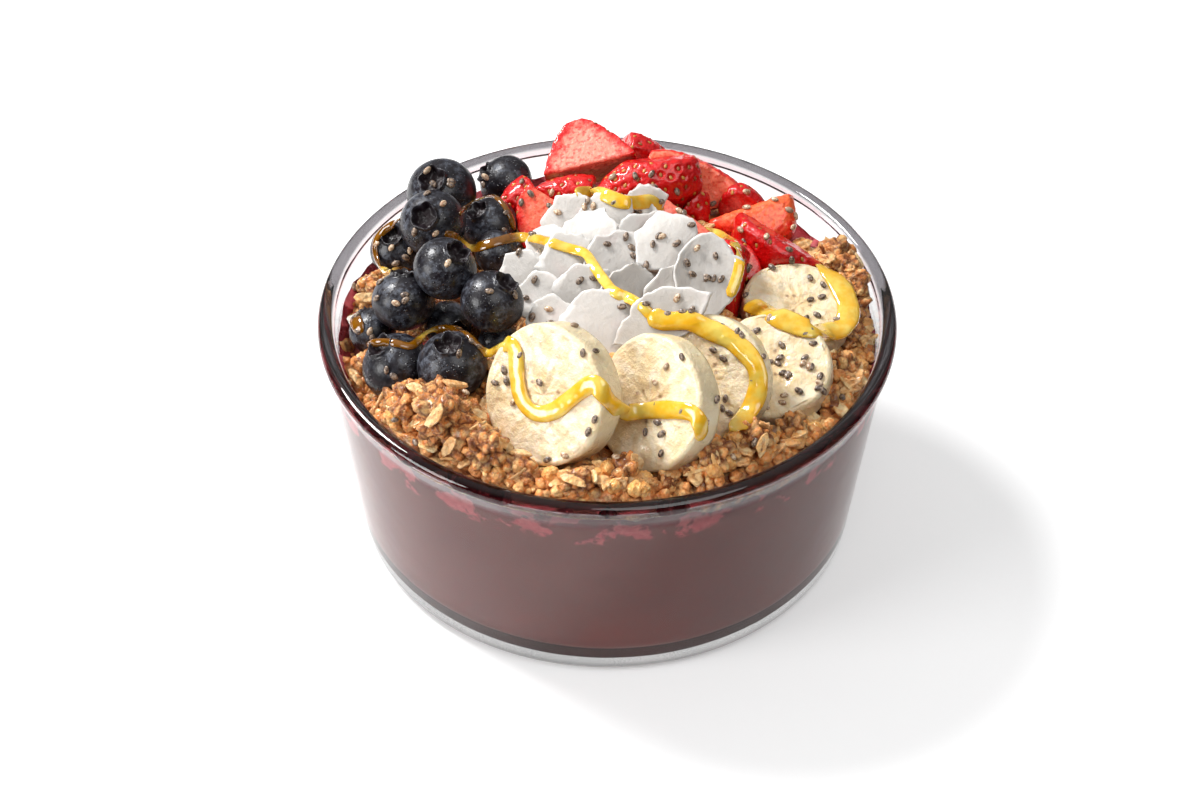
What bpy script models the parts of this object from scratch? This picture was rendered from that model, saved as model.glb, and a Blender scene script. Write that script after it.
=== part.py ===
"""An acai bowl: a round bowl of clear pressed glass, filled with thick acai, with a
heap of granola on it and blueberries, strawberry pieces, coconut flakes and banana
slices laid on the heap.

Metres, +Z up. The origin is the middle of the bowl's foot, on the table. The side
that the fruit faces is -Y, with the blueberries at -X and the strawberries at +Y.
"""
import math
import random

import bmesh
import bpy
import numpy as np
from mathutils import Matrix, Vector, noise
from mathutils.bvhtree import BVHTree

MM = 0.001
GAP = 0.3 * MM  # left between two pieces that touch

# The glass bowl.
HEIGHT = 55.4 * MM
FOOT_RADIUS = 55.2 * MM
FOOT_ROUNDING = 3.5 * MM
RIM_RADIUS = 62.0 * MM
BEAD_HEIGHT = 2.4 * MM
BEAD_STEP = 1.3 * MM  # how far the bead stands out from the wall below it
MOUTH_RADIUS = 58.4 * MM
BASE_THICKNESS = 4.6 * MM
WELL_RADIUS = 52.2 * MM  # inside, where the wall meets the rounding of the well
WELL_ROUNDING = 6.5 * MM
BOWL_STEPS = 48

# The acai and the heap of granola.
ACAI_LEVEL = 47.0 * MM
ACAI_WAVE = 0.9 * MM
FILL_STEPS = 48
HEAP_RINGS = 13
HEAP_AT_WALL = 49.5 * MM
HEAP_LEAN = 3.0 * MM  # how much higher it lies at the front of the wall
HEAP_FORWARD = 4.0 * MM  # how far its top lies towards the front
HEAP_MIDDLE = 64.0 * MM
HEAP_LEAST = 1.2 * MM  # the thinnest that the pressed heap gets
LUMP_SIZE = 9.0 * MM
LUMP_HEIGHT = 1.5 * MM

# Where the granola is piled higher: the place, how much higher, and how far it spreads.
CLUMPS = (
    (50.0, 17.0, 4.5, 8.0),
    (-36.0, -36.0, 4.5, 8.0),
    (24.0, -46.0, 2.0, 9.0),
)

# The steps in which the fruit is moved out until it is clear of what lies under it, and
# how many steps in a row have to be clear.
PRESS_STEP = 0.2 * MM
CLEAR_STEPS = 3
PRESS_DIRECTION = Vector((0.0, 0.74, -0.67))

BERRY_SIDES = 10
SLICE_SIDES = 20
STRAWBERRY_SIDES = 12
HIDDEN_CUT = 0.7  # how squarely a cut has to face away from the front to be hidden there
FLAKE_THICKNESS = 0.9 * MM
SLICE_EDGE = 0.8 * MM

# Each blueberry: where its middle is, its radius, and the compass and height angles
# that its crown faces. The lowest lie on the heap, and the rest on them.
BLUEBERRIES = (
    ((-23, 44, 55), 6.0, (180, 30)),
    ((-37, 35, 59), 7.5, (-120, 60)),
    ((-46, 22, 53), 6.0, (-120, 70)),
    ((-26, 26, 57), 6.0, (-160, 60)),
    ((-38, 20, 62), 7.0, (-110, 50)),
    ((-50, -4, 52), 5.0, (150, 40)),
    ((-34, -2, 52), 5.0, (-60, 20)),
    ((-43, -5, 61), 6.5, (90, 60)),
    ((-24, 15, 58), 5.0, (20, 40)),
    ((-34, -5, 70), 6.5, (-20, 60)),
    ((-44, -19, 55), 7.0, (-180, 60)),
    ((-23, -8, 52), 4.5, (-40, 20)),
    ((-24, -12, 67), 6.5, (0, 60)),
    ((-32, -24, 60), 7.0, (-120, 80)),
)

# Each strawberry piece: the middle of the berry that it was cut from, that berry's
# length and width, where its tip points, and the cuts. A cut is the way that its face
# looks and how far from the middle it lies.
STRAWBERRIES = (
    ((8, 51, 57), 16, 11, (0, -10), ((180, 30, 5), (-90, 0, 3))),
    ((31, 37, 54), 13, 10, (0, -20), ((-100, 0, 2),)),
    ((18, 42, 56), 29, 15, (0, -10), ((-90, 30, 2), (170, 20, 11))),
    ((-4, 41, 61), 28, 25, (110, 30), ((-100, 60, 2), (-70, -30, 2), (110, 30, 12))),
    ((-19, 35, 57), 14, 11, (-150, 0), ((30, 0, 4), (90, -60, 3))),
    ((18, 36, 56), 15, 12, (-50, -20), ((130, 20, 3), (90, -30, 3))),
    ((32, 33, 55), 24, 14, (-170, 0), ((-90, 50, 2), (0, 0, 9), (100, 40, 4))),
    ((-8, 36, 58), 18, 10, (180, 10), ((0, -10, 5), (90, -40, 3))),
    ((9, 38, 60), 27, 16, (-160, 0), ((100, 60, 5), (80, -50, 2), (20, 0, 11))),
    ((36, 18, 56), 27, 17, (-30, 0), ((40, 50, 3), (170, 20, 9), (90, -60, 3))),
    ((18, 23, 59), 23, 14, (-30, -20), ((-80, 60, 1), (40, 40, 2), (-140, -40, 3))),
    ((-15, 26, 59), 16, 13, (-120, -30), ((-100, 50, 1), (50, 30, 5))),
    ((29, 12, 58), 13, 9, (-40, 0), ((-80, 50, 1), (150, 10, 4))),
    ((26, 4, 58), 24, 14, (-110, -40), ((-20, 10, 3), (180, 10, 3), (60, 40, 9))),
)

# The coconut flakes lie in rows across the heap, each row over the one before it. A row:
# how far back it lies, where its first and last flakes are, and how many it has.
FLAKE_ROWS = (
    (19, -8, 6, 3),
    (11, -13, 8, 3),
    (2, -18, 11, 4),
    (-7, -14, 14, 4),
    (-15, -11, -2, 2),
)
FLAKE_LENGTH = 15.5
FLAKE_WIDTH = 13.0
FLAKE_SIZES = (0.75, 1.1)  # the least and most that a flake is of that length and width
FLAKE_LIFT = 0.5  # how far the middle of a flake is above the heap
FLAKE_CORNERS = 6
FLAKE_TEAR = (0.85, 1.1)  # the least and most that a corner is of the oval's radius
FLAKE_CURLS = (0, 25, -30)  # the radius of the curl, where 0 is flat

# The way that the flakes face, in degrees: straight to the front in the middle of a row and
# fanned out to the sides for each millimetre across, all give or take a little.
FLAKE_FAN = 1.5
FLAKE_COMPASS = 15
FLAKE_TILT = 50
FLAKE_HEIGHT = 10
FLAKE_TURN = 60

# The broad flakes on top: how far across and back the middle is, its lift above the heap,
# its length and width, the way it faces, its turn, and the radius of its curl. A minus
# sign curls it towards the way that it faces.
TOP_FLAKES = (
    (8, 24, 3, 10, 7, (-90, 30), 20, 40),
    (-4, 12, 4, 13, 10, (-120, 60), 30, 25),
    (12, 6, 5, 14, 12, (-90, 60), 40, 25),
    (11, -19, 5, 20, 10, (-110, 40), 40, -40),
    (21, -3, 4, 20, 13, (-70, 50), 70, -20),
)

# Each banana slice: the middle of its front face, its radius and thickness, and the way
# that the front face looks, from the back one to the front one.
BANANAS = (
    ((41, 0, 57), 12.0, 6.0, (-60, 80)),
    ((34, -21, 58), 12.5, 6.0, (-110, 70)),
    ((20, -30, 62), 13.0, 5.5, (-120, 40)),
    ((8, -40, 64), 14.0, 6.5, (-140, 30)),
    ((-13, -40, 66), 14.5, 7.5, (-130, 30)),
)


def finish(name, colour, roughness, transmission=0.0):
    """A material with one colour and one roughness."""
    material = bpy.data.materials.new(name)
    material.use_nodes = True
    shader = material.node_tree.nodes["Principled BSDF"]
    shader.inputs["Base Color"].default_value = (*colour, 1.0)
    shader.inputs["Roughness"].default_value = roughness
    shader.inputs["Metallic"].default_value = 0.0
    shader.inputs["Transmission Weight"].default_value = transmission
    return material


def add_piece(name, shape, material, smooth_below=None):
    """Makes the shape into an object of its own, with its faces turned outwards."""
    bmesh.ops.recalc_face_normals(shape, faces=shape.faces)
    mesh = bpy.data.meshes.new(name)
    shape.to_mesh(mesh)
    shape.free()
    mesh.materials.append(material)
    if smooth_below is not None:
        mesh.shade_smooth()
        mesh.set_sharp_from_angle(angle=math.radians(smooth_below))
    piece = bpy.data.objects.new(name, mesh)
    bpy.context.scene.collection.objects.link(piece)
    return piece


def arc(middle_r, middle_z, radius, start, end, steps):
    """Points (r, z) round part of a circle, its angles in degrees."""
    for step in range(steps + 1):
        angle = math.radians(start + (end - start) * step / steps)
        yield (middle_r + radius * math.cos(angle), middle_z + radius * math.sin(angle))


def turned(profile, steps):
    """A solid turned round Z from a profile of (r, z) points that starts and ends on it."""
    shape = bmesh.new()
    points = [shape.verts.new((r, 0.0, z)) for r, z in profile]
    edges = [shape.edges.new(pair) for pair in zip(points, points[1:])]
    bmesh.ops.spin(shape, geom=points + edges, cent=(0, 0, 0), axis=(0, 0, 1),
                   angle=math.tau, steps=steps, use_duplicate=False)
    bmesh.ops.remove_doubles(shape, verts=shape.verts, dist=0.001 * MM)
    return shape


def direction(compass, height):
    """The unit vector at a compass angle from +X and a height angle above the table."""
    level = math.cos(math.radians(height))
    return Vector((level * math.cos(math.radians(compass)),
                   level * math.sin(math.radians(compass)),
                   math.sin(math.radians(height))))


CUT_WAYS = np.array([direction(compass, height)
                     for height in range(-75, 90, 15) for compass in range(0, 360, 15)])


def facing(way, turn=0.0):
    """The rotation that points local +Z along a way, with local X level before the turn."""
    z = direction(*way)
    x = Vector((0, 0, 1)).cross(z).normalized()
    y = z.cross(x)
    return Matrix((x, y, z)).transposed().to_4x4() @ Matrix.Rotation(math.radians(turn), 4, "Z")


def tree_of(shape, moved=Vector((0, 0, 0))):
    """A search tree of a shape's faces, with the whole shape moved."""
    points = [v.co + moved for v in shape.verts]
    faces = [[v.index for v in face.verts] for face in shape.faces]
    return BVHTree.FromPolygons(points, faces)


def lay_down(shape, laid, clear_steps):
    """Moves a shape from its place out to the front until it clears what is laid."""
    shape.verts.ensure_lookup_table()
    shape.verts.index_update()
    away = 0.0
    clear = 0
    while clear < clear_steps:
        here = tree_of(shape, -PRESS_DIRECTION * away)
        clear = 0 if any(here.overlap(other) for other in laid) else clear + 1
        away += PRESS_STEP
    away -= PRESS_STEP * (clear_steps + 1) / 2
    bmesh.ops.translate(shape, vec=-PRESS_DIRECTION * away, verts=shape.verts)
    laid.append(tree_of(shape))


def blueberry(radius):
    """A slightly flat ball with the raised crown and pit of its calyx on top."""
    ball = [(0.0, -0.92)]
    ball += [(math.cos(math.radians(a)), 0.92 * math.sin(math.radians(a)))
             for a in (-58, -28, 2, 32, 58)]
    crown = [(0.42, 0.92), (0.27, 0.74), (0.0, 0.70)]
    return turned([(r * radius, z * radius) for r, z in ball + crown], BERRY_SIDES)


def banana_slice(radius, thickness):
    """A round slice with soft edges, a little three-sided, its front face at z = 0."""
    profile = [(0.0, -thickness), (radius - SLICE_EDGE, -thickness),
               (radius, -thickness + SLICE_EDGE), (radius, -SLICE_EDGE),
               (radius - SLICE_EDGE, 0.0), (0.0, 0.0)]
    shape = turned(profile, SLICE_SIDES)
    for point in shape.verts:
        angle = math.atan2(point.co.y, point.co.x)
        swell = 1.0 + 0.015 * math.cos(3 * angle)
        point.co.x *= swell
        point.co.y *= swell
    return shape


def strawberry(length, width):
    """A whole strawberry with its tip at +Z and its flat shoulder at -Z."""
    profile = []
    for step in range(9):
        along = (step / 8) ** 1.25
        swell = math.sin(math.pi * along ** 0.62) ** 0.75 if 0 < step < 8 else 0.0
        profile.append((width / 2 * swell, length * (along - 0.5)))
    return turned(profile, STRAWBERRY_SIDES)


def slice_off(shape, normal, distance):
    """Cuts off what lies beyond a flat face, and closes the cut."""
    cut = bmesh.ops.bisect_plane(shape, geom=shape.verts[:] + shape.edges[:] + shape.faces[:],
                                 plane_co=normal * distance, plane_no=normal,
                                 clear_outer=True, dist=0.01 * MM)
    edges = [e for e in cut["geom_cut"] if isinstance(e, bmesh.types.BMEdge)]
    bmesh.ops.edgeloop_fill(shape, edges=edges)


def corners_of(shape):
    """The points of a shape as rows of numbers."""
    return np.array([v.co for v in shape.verts])


def part_pieces(behind, before, behind_is_whole):
    """Cuts one of two pieces flat where they would meet, whichever hides the cut."""
    back = corners_of(behind) @ CUT_WAYS.T
    front = corners_of(before) @ CUT_WAYS.T
    depth = back.max(axis=0) - front.min(axis=0) + GAP
    least = int(depth.argmin())
    if depth[least] <= 0:
        return
    way = Vector(CUT_WAYS[least])
    if behind_is_whole or way.dot(PRESS_DIRECTION) < -HIDDEN_CUT:
        slice_off(before, -way, -back[:, least].max() - GAP)
    else:
        slice_off(behind, way, front[:, least].min() - GAP)


def flake(length, width, curl, seed):
    """A thin torn flake: an uneven oval with a corner at each of equal angles."""
    draw = random.Random(seed)
    count = FLAKE_CORNERS
    tips = []
    for i in range(count):
        angle = math.tau * i / count
        oval = math.hypot(math.cos(angle) / length, math.sin(angle) / width)
        radius = draw.uniform(*FLAKE_TEAR) / (2 * oval)
        tips.append(Vector((radius * math.cos(angle), radius * math.sin(angle))))
    outline = []
    for tip, following in zip(tips, tips[1:] + tips[:1]):
        outline.append(tip)
        outline.append((tip + following) / 2 * (1.04 + 0.10 * draw.random()))
    shape = bmesh.new()
    sides = []
    for z in (0.0, -FLAKE_THICKNESS):
        def bent(flat):
            drop = 0.0
            if curl:
                drop = -(flat.y * MM) ** 2 / (2 * curl)
            return (flat.x * MM, flat.y * MM, z + drop)
        rim = [shape.verts.new(bent(point)) for point in outline]
        inner = [shape.verts.new(bent(tip * 0.5)) for tip in tips]
        middle = shape.verts.new((0, 0, z))
        for i in range(count):
            after = (i + 1) % count
            shape.faces.new((middle, inner[i], inner[after]))
            shape.faces.new((inner[i], rim[2 * i], rim[2 * i + 1]))
            shape.faces.new((inner[i], rim[2 * i + 1], inner[after]))
            shape.faces.new((inner[after], rim[2 * i + 1], rim[(2 * i + 2) % (2 * count)]))
        sides.append(rim)
    top, bottom = sides
    for i in range(2 * count):
        after = (i + 1) % (2 * count)
        shape.faces.new((top[i], top[after], bottom[after], bottom[i]))
    return shape


def wall_inside(z):
    """The radius of the bowl's inner wall at a height."""
    up = (z - BASE_THICKNESS - WELL_ROUNDING) / (HEIGHT - BASE_THICKNESS - WELL_ROUNDING)
    return WELL_RADIUS + (MOUTH_RADIUS - WELL_RADIUS) * up


def acai_top(x, y):
    """The height of the acai, which was smoothed by hand and is wavy."""
    wave = noise.noise(Vector((x, y, 0.0)) / (22 * MM))
    return ACAI_LEVEL + ACAI_WAVE * 1.6 * wave


def heap_top(x, y):
    """The height that the granola would have with no fruit on it."""
    out = min(math.hypot(x, y + HEAP_FORWARD) / MOUTH_RADIUS, 1.0)
    at_wall = HEAP_AT_WALL - HEAP_LEAN * y / MOUTH_RADIUS
    mound = at_wall + (HEAP_MIDDLE - at_wall) * (1 - out ** 3) ** 1.5
    for mound_x, mound_y, height, spread in CLUMPS:
        away = math.hypot(x - mound_x * MM, y - mound_y * MM) / (spread * MM)
        mound += height * MM * math.exp(-away * away)
    lumps = noise.noise(Vector((x, y, 30 * MM)) / LUMP_SIZE)
    return mound + LUMP_HEIGHT * lumps


def disc_rows(shape, rings, steps, height):
    """A round sheet of points out to the last ring's radius: its middle and its rings."""
    middle = shape.verts.new((0, 0, height(0, 0)))
    rows = []
    for radius in rings:
        row = []
        for step in range(steps):
            angle = math.tau * step / steps
            x = radius * math.cos(angle)
            y = radius * math.sin(angle)
            row.append(shape.verts.new((x, y, height(x, y))))
        rows.append(row)
    return middle, rows


def join_rows(shape, middle, rows):
    """Faces from the middle out through the rings."""
    steps = len(rows[0])
    for i in range(steps):
        shape.faces.new((middle, rows[0][i], rows[0][(i + 1) % steps]))
    for inner, outer in zip(rows, rows[1:]):
        for i in range(steps):
            after = (i + 1) % steps
            shape.faces.new((inner[i], outer[i], outer[after], inner[after]))


def join_edges(shape, low, high):
    """The wall between two rings that have the same number of points."""
    steps = len(low)
    for i in range(steps):
        after = (i + 1) % steps
        shape.faces.new((low[i], low[after], high[after], high[i]))


# Start with an empty scene.
for old in list(bpy.data.objects):
    bpy.data.objects.remove(old)

glass = finish("glass", (0.93, 0.95, 0.96), 0.03, transmission=1.0)
acai_finish = finish("acai", (0.075, 0.018, 0.022), 0.35)
granola_finish = finish("granola", (0.48, 0.22, 0.08), 0.7)
blueberry_finish = finish("blueberry", (0.015, 0.02, 0.045), 0.35)
strawberry_finish = finish("strawberry", (0.65, 0.02, 0.02), 0.25)
coconut_finish = finish("coconut", (0.86, 0.83, 0.78), 0.5)
banana_finish = finish("banana", (0.86, 0.74, 0.50), 0.4)

# The bowl: up the outside of the foot and wall, over the bead, down the inside.
wall_top = RIM_RADIUS - BEAD_STEP
bead_bottom = HEIGHT - BEAD_HEIGHT
bead_rounding = 1.0 * MM
profile = [(0.0, 0.0)]
profile += arc(FOOT_RADIUS - FOOT_ROUNDING, FOOT_ROUNDING, FOOT_ROUNDING, -90, 0, 3)
profile += [(wall_top, bead_bottom - 0.6 * MM), (RIM_RADIUS, bead_bottom)]
profile += arc(RIM_RADIUS - bead_rounding, HEIGHT - bead_rounding, bead_rounding, 0, 90, 2)
profile += arc(MOUTH_RADIUS + bead_rounding, HEIGHT - bead_rounding, bead_rounding, 90, 180, 2)
well_middle = BASE_THICKNESS + WELL_ROUNDING
profile += arc(WELL_RADIUS - WELL_ROUNDING, well_middle, WELL_ROUNDING, 0, -90, 3)
profile += [(0.0, BASE_THICKNESS)]
add_piece("bowl", turned(profile, BOWL_STEPS), glass, smooth_below=40)

# The acai fills the well, a gap clear of the glass, up to its wavy level.
acai = bmesh.new()
floor_z = BASE_THICKNESS + GAP
floor_rings = [20 * MM, WELL_RADIUS - WELL_ROUNDING]
middle, rows = disc_rows(acai, floor_rings, FILL_STEPS, lambda x, y: floor_z)
join_rows(acai, middle, rows)
low = rows[-1]
for r, z in arc(WELL_RADIUS - WELL_ROUNDING, well_middle, WELL_ROUNDING - GAP, -60, 0, 2):
    ring = [acai.verts.new((r * math.cos(math.tau * i / FILL_STEPS),
                            r * math.sin(math.tau * i / FILL_STEPS), z))
            for i in range(FILL_STEPS)]
    join_edges(acai, low, ring)
    low = ring
acai_edge = wall_inside(ACAI_LEVEL - 2 * ACAI_WAVE) - GAP
top_rings = [acai_edge * share for share in (0.25, 0.5, 0.75, 1.0)]
middle, rows = disc_rows(acai, top_rings, FILL_STEPS, acai_top)
join_rows(acai, middle, rows)
join_edges(acai, low, rows[-1])
add_piece("acai", acai, acai_finish, smooth_below=50)

# What the fruit meets as it is laid: the bowl's wall and the top of the loose heap.
stand_in = bmesh.new()
heap_edge = wall_inside(ACAI_LEVEL) - GAP
heap_rings = [heap_edge * share / HEAP_RINGS for share in range(1, HEAP_RINGS + 1)]
middle, rows = disc_rows(stand_in, heap_rings, FILL_STEPS,
                         lambda x, y: acai_top(x, y) + GAP + HEAP_LEAST + GAP)
join_rows(stand_in, middle, rows)
bmesh.ops.triangulate(stand_in, faces=stand_in.faces)
wall = disc_rows(stand_in, [wall_inside(ACAI_LEVEL)], FILL_STEPS, lambda x, y: ACAI_LEVEL)[1][0]
mouth = disc_rows(stand_in, [MOUTH_RADIUS - GAP], FILL_STEPS, lambda x, y: HEIGHT)[1][0]
join_edges(stand_in, wall, mouth)
stand_in.verts.index_update()
laid = [tree_of(stand_in)]
stand_in.free()

# The fruit, laid down in turn. Whole pieces come first, and the cut strawberry pieces are
# trimmed where they would meet one of them or each other.
whole = []
for number, (place, radius, crown) in enumerate(BLUEBERRIES, 1):
    shape = blueberry(radius * MM)
    bmesh.ops.transform(shape, matrix=facing(crown), verts=shape.verts)
    bmesh.ops.translate(shape, vec=Vector(place) * MM, verts=shape.verts)
    lay_down(shape, laid, CLEAR_STEPS)
    whole.append(shape.copy())
    add_piece(f"blueberry_{number:02d}", shape, blueberry_finish, 40)

for number, (place, radius, thickness, way) in enumerate(BANANAS, 1):
    shape = banana_slice(radius * MM, thickness * MM)
    bmesh.ops.transform(shape, matrix=facing(way, 40 * number), verts=shape.verts)
    bmesh.ops.translate(shape, vec=Vector(place) * MM, verts=shape.verts)
    lay_down(shape, laid, CLEAR_STEPS)
    whole.append(shape.copy())
    add_piece(f"banana_{number}", shape, banana_finish, 50)

strawberries = []
for place, length, width, tip, cuts in STRAWBERRIES:
    shape = strawberry(length * MM, width * MM)
    bmesh.ops.transform(shape, matrix=facing(tip), verts=shape.verts)
    for compass, height, distance in cuts:
        slice_off(shape, direction(compass, height), distance * MM)
    bmesh.ops.translate(shape, vec=Vector(place) * MM, verts=shape.verts)
    for fruit in whole:
        part_pieces(fruit, shape, behind_is_whole=True)
    for earlier in strawberries:
        part_pieces(earlier, shape, behind_is_whole=False)
    strawberries.append(shape)

for number, shape in enumerate(strawberries, 1):
    lay_down(shape, laid, 1)
    add_piece(f"strawberry_{number:02d}", shape, strawberry_finish, 35)

# The coconut flakes: the rows from the back to the front, and then the broad ones on top.
draw = random.Random(4)
flakes = []
for back, first, last, count in FLAKE_ROWS:
    for i in range(count):
        across = first + (last - first) * i / (count - 1)
        compass = -90 + FLAKE_FAN * across + draw.uniform(-FLAKE_COMPASS, FLAKE_COMPASS)
        way = (compass, FLAKE_TILT + draw.uniform(-FLAKE_HEIGHT, FLAKE_HEIGHT))
        size = draw.uniform(*FLAKE_SIZES)
        flakes.append((across, back, FLAKE_LIFT, FLAKE_LENGTH * size, FLAKE_WIDTH * size,
                       way, draw.uniform(0, FLAKE_TURN), draw.choice(FLAKE_CURLS)))
flakes += TOP_FLAKES
for number, (across, back, lift, length, width, way, turn, curl) in enumerate(flakes, 1):
    shape = flake(length, width, curl * MM, number)
    bmesh.ops.transform(shape, matrix=facing(way, turn), verts=shape.verts)
    place = Vector((across * MM, back * MM, 0))
    place.z = heap_top(place.x, place.y) + lift * MM
    bmesh.ops.translate(shape, vec=place, verts=shape.verts)
    lay_down(shape, laid, CLEAR_STEPS)
    add_piece(f"coconut_{number:02d}", shape, coconut_finish, 30)

# The granola: a heap that the fruit has sunk into, so it lies close under each piece.
reach = 2.2 * MM


def under_fruit(x, y):
    """The height of the heap at a place, kept clear of the fruit above it."""
    top = heap_top(x, y)
    for i in range(9):
        ring = 0 if i == 0 else reach
        at = (x + ring * math.cos(math.tau * i / 8), y + ring * math.sin(math.tau * i / 8))
        for tree in laid[1:]:
            hit = tree.ray_cast(Vector((*at, 0.0)), Vector((0, 0, 1)))[0]
            if hit is not None:
                top = min(top, hit.z - 2 * GAP)
    return max(top, acai_top(x, y) + GAP + HEAP_LEAST)


granola = bmesh.new()
middle, rows = disc_rows(granola, heap_rings, FILL_STEPS, under_fruit)
join_rows(granola, middle, rows)
top_edge = rows[-1]
bmesh.ops.triangulate(granola, faces=granola.faces)
granola.verts.index_update()
granola.faces.ensure_lookup_table()
touching = {None}
while touching:
    top = tree_of(granola)
    touching = {i for fruit in laid[1:] for i, _ in top.overlap(fruit)}
    for point in {v for i in touching for v in granola.faces[i].verts}:
        least = acai_top(point.co.x, point.co.y) + GAP + HEAP_LEAST
        point.co.z = max(point.co.z - 2 * GAP, least)
middle, rows = disc_rows(granola, top_rings, FILL_STEPS, lambda x, y: acai_top(x, y) + GAP)
join_rows(granola, middle, rows)
join_edges(granola, rows[-1], top_edge)
add_piece("granola", granola, granola_finish, smooth_below=60)
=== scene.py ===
import math
import random

import bmesh
import bpy
import numpy as np
from mathutils import Matrix, Vector
from mathutils.bvhtree import BVHTree
from mathutils.kdtree import KDTree
from mathutils.noise import noise, voronoi


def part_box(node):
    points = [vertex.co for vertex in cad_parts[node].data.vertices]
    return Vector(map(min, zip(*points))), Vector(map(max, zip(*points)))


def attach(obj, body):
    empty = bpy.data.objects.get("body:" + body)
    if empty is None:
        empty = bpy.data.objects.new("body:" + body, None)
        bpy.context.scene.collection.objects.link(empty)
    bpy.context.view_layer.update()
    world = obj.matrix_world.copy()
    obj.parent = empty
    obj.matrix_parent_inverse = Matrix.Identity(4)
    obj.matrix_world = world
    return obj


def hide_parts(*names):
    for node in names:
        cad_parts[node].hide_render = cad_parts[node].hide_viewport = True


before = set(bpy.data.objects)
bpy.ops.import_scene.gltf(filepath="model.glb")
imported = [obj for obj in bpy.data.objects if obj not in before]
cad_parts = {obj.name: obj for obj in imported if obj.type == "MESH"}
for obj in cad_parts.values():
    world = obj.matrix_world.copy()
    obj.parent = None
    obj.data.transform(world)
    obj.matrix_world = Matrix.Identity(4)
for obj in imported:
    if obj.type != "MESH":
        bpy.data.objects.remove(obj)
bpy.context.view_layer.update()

MM = 0.001

# The table and the light. The bowl stands on a plain white table top in a dim room, so that
# the edges of the glass stay dark. A large soft lamp stands behind it on the left.


def tint(red, green, blue):
    """A colour from its three values of 0 to 255, as a paint card gives them."""
    return tuple((part / 255) ** 2.2 for part in (red, green, blue))


class Wire:
    """What leaves one socket of a finish's nodes; sums on it add the nodes that do them."""

    def __init__(self, tree, socket=None):
        self.tree = tree
        self.socket = socket

    def node(self, kind, settings, sockets, out=0):
        """Adds a node by its type, its settings, and what its sockets hold or are joined to."""
        made = self.tree.nodes.new("ShaderNode" + kind)
        for key, value in settings.items():
            setattr(made, key, value)
        for key, value in sockets.items():
            if isinstance(value, Wire):
                self.tree.links.new(value.socket, made.inputs[key])
            elif made.inputs[key].type == "RGBA":
                made.inputs[key].default_value = (*value, 1.0)
            else:
                made.inputs[key].default_value = value
        return Wire(self.tree, made.outputs[out] if made.outputs else None)

    def worked(self, operation, first, second):
        return self.node("Math", {"operation": operation}, {0: first, 1: second})

    def __add__(self, other):
        return self.worked("ADD", self, other)

    def __radd__(self, other):
        return self.worked("ADD", other, self)

    def __sub__(self, other):
        return self.worked("SUBTRACT", self, other)

    def __rsub__(self, other):
        return self.worked("SUBTRACT", other, self)

    def __mul__(self, other):
        return self.worked("MULTIPLY", self, other)

    def __rmul__(self, other):
        return self.worked("MULTIPLY", other, self)

    def between(self, low, high):
        """0 below low and 1 above high, with a soft step from one to the other."""
        return self.node("MapRange", {"interpolation_type": "SMOOTHSTEP"},
                         {"Value": self, "From Min": low, "From Max": high})

    def blend(self, first, second):
        """The first colour where this mask is 0 and the second where it is 1."""
        return self.node("Mix", {"data_type": "RGBA"}, {0: self, 6: first, 7: second}, 2)

    def clouds(self, size, detail=3.0, rough=0.55):
        """Soft uneven patches of a size in millimetres, over these places."""
        return self.node("TexNoise", {}, {"Vector": self, "Scale": 1 / (size * MM),
                                          "Detail": detail, "Roughness": rough})

    def cells(self, size):
        """The distance to the nearest of scattered points that are a size apart."""
        return self.node("TexVoronoi", {}, {"Vector": self, "Scale": 1 / (size * MM)})

    def along(self, axis):
        """One coordinate of these places: 0 is across, 1 is back and 2 is up."""
        return self.node("SeparateXYZ", {}, {"Vector": self}, axis)

    def stretched(self, x, y, z):
        """These places, drawn out differently along each axis."""
        return self.node("VectorMath", {"operation": "MULTIPLY"}, {0: self, 1: (x, y, z)})

    def relief(self, depth):
        """A bumpy surface whose height is this times a depth in millimetres."""
        return self.node("Bump", {}, {"Height": self, "Distance": depth * MM})

    def painted(self, name):
        """A value that the mesh carries at each of its points."""
        return self.node("Attribute", {"attribute_name": name}, {}, "Fac")


def finish(name):
    """A new finish, the places on the piece that its patterns follow, and their heights."""
    material = bpy.data.materials.new(name)
    material.use_nodes = True
    material.node_tree.nodes.clear()
    places = Wire(material.node_tree).node("TexCoord", {}, {}, "Object")
    return material, places


def coat(places, **sockets):
    """Gives a finish its shader, with each socket's value under its name."""
    named = {key.replace("_", " ").title().replace("Ior", "IOR"): value
             for key, value in sockets.items()}
    shader = places.node("BsdfPrincipled", {}, named)
    places.node("OutputMaterial", {}, {"Surface": shader})


white, places = finish("table_white")
coat(places, base_color=places.clouds(300).blend((0.68, 0.68, 0.68), (0.70, 0.70, 0.70)),
     roughness=0.85, emission_color=(1.0, 1.0, 1.0), emission_strength=0.37)
shape = bmesh.new()
bmesh.ops.create_grid(shape, x_segments=20, y_segments=20, size=0.3)
mesh = bpy.data.meshes.new("table_top")
shape.to_mesh(mesh)
shape.free()
mesh.materials.append(white)
table = bpy.data.objects.new("table_top", mesh)
bpy.context.scene.collection.objects.link(table)

scene = bpy.context.scene
scene.view_settings.view_transform = "Standard"
room = bpy.data.worlds.new("room")
room.use_nodes = True
room.node_tree.nodes.clear()
way_out = Wire(room.node_tree).node("TexCoord", {}, {}, "Generated")
light_room = (way_out.along(2) * 0.8 + way_out.along(1) * 0.35).between(0.15, 0.95).blend(
    (0.02, 0.022, 0.026), (0.56, 0.56, 0.56))
seen = way_out.node("LightPath", {}, {}, "Is Camera Ray")
backdrop = way_out.node("Background", {}, {"Color": seen.blend(light_room, (1.0, 1.0, 1.0))})
way_out.node("OutputWorld", {}, {"Surface": backdrop})
scene.world = room


LAMP_AWAY = 1.2


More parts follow.
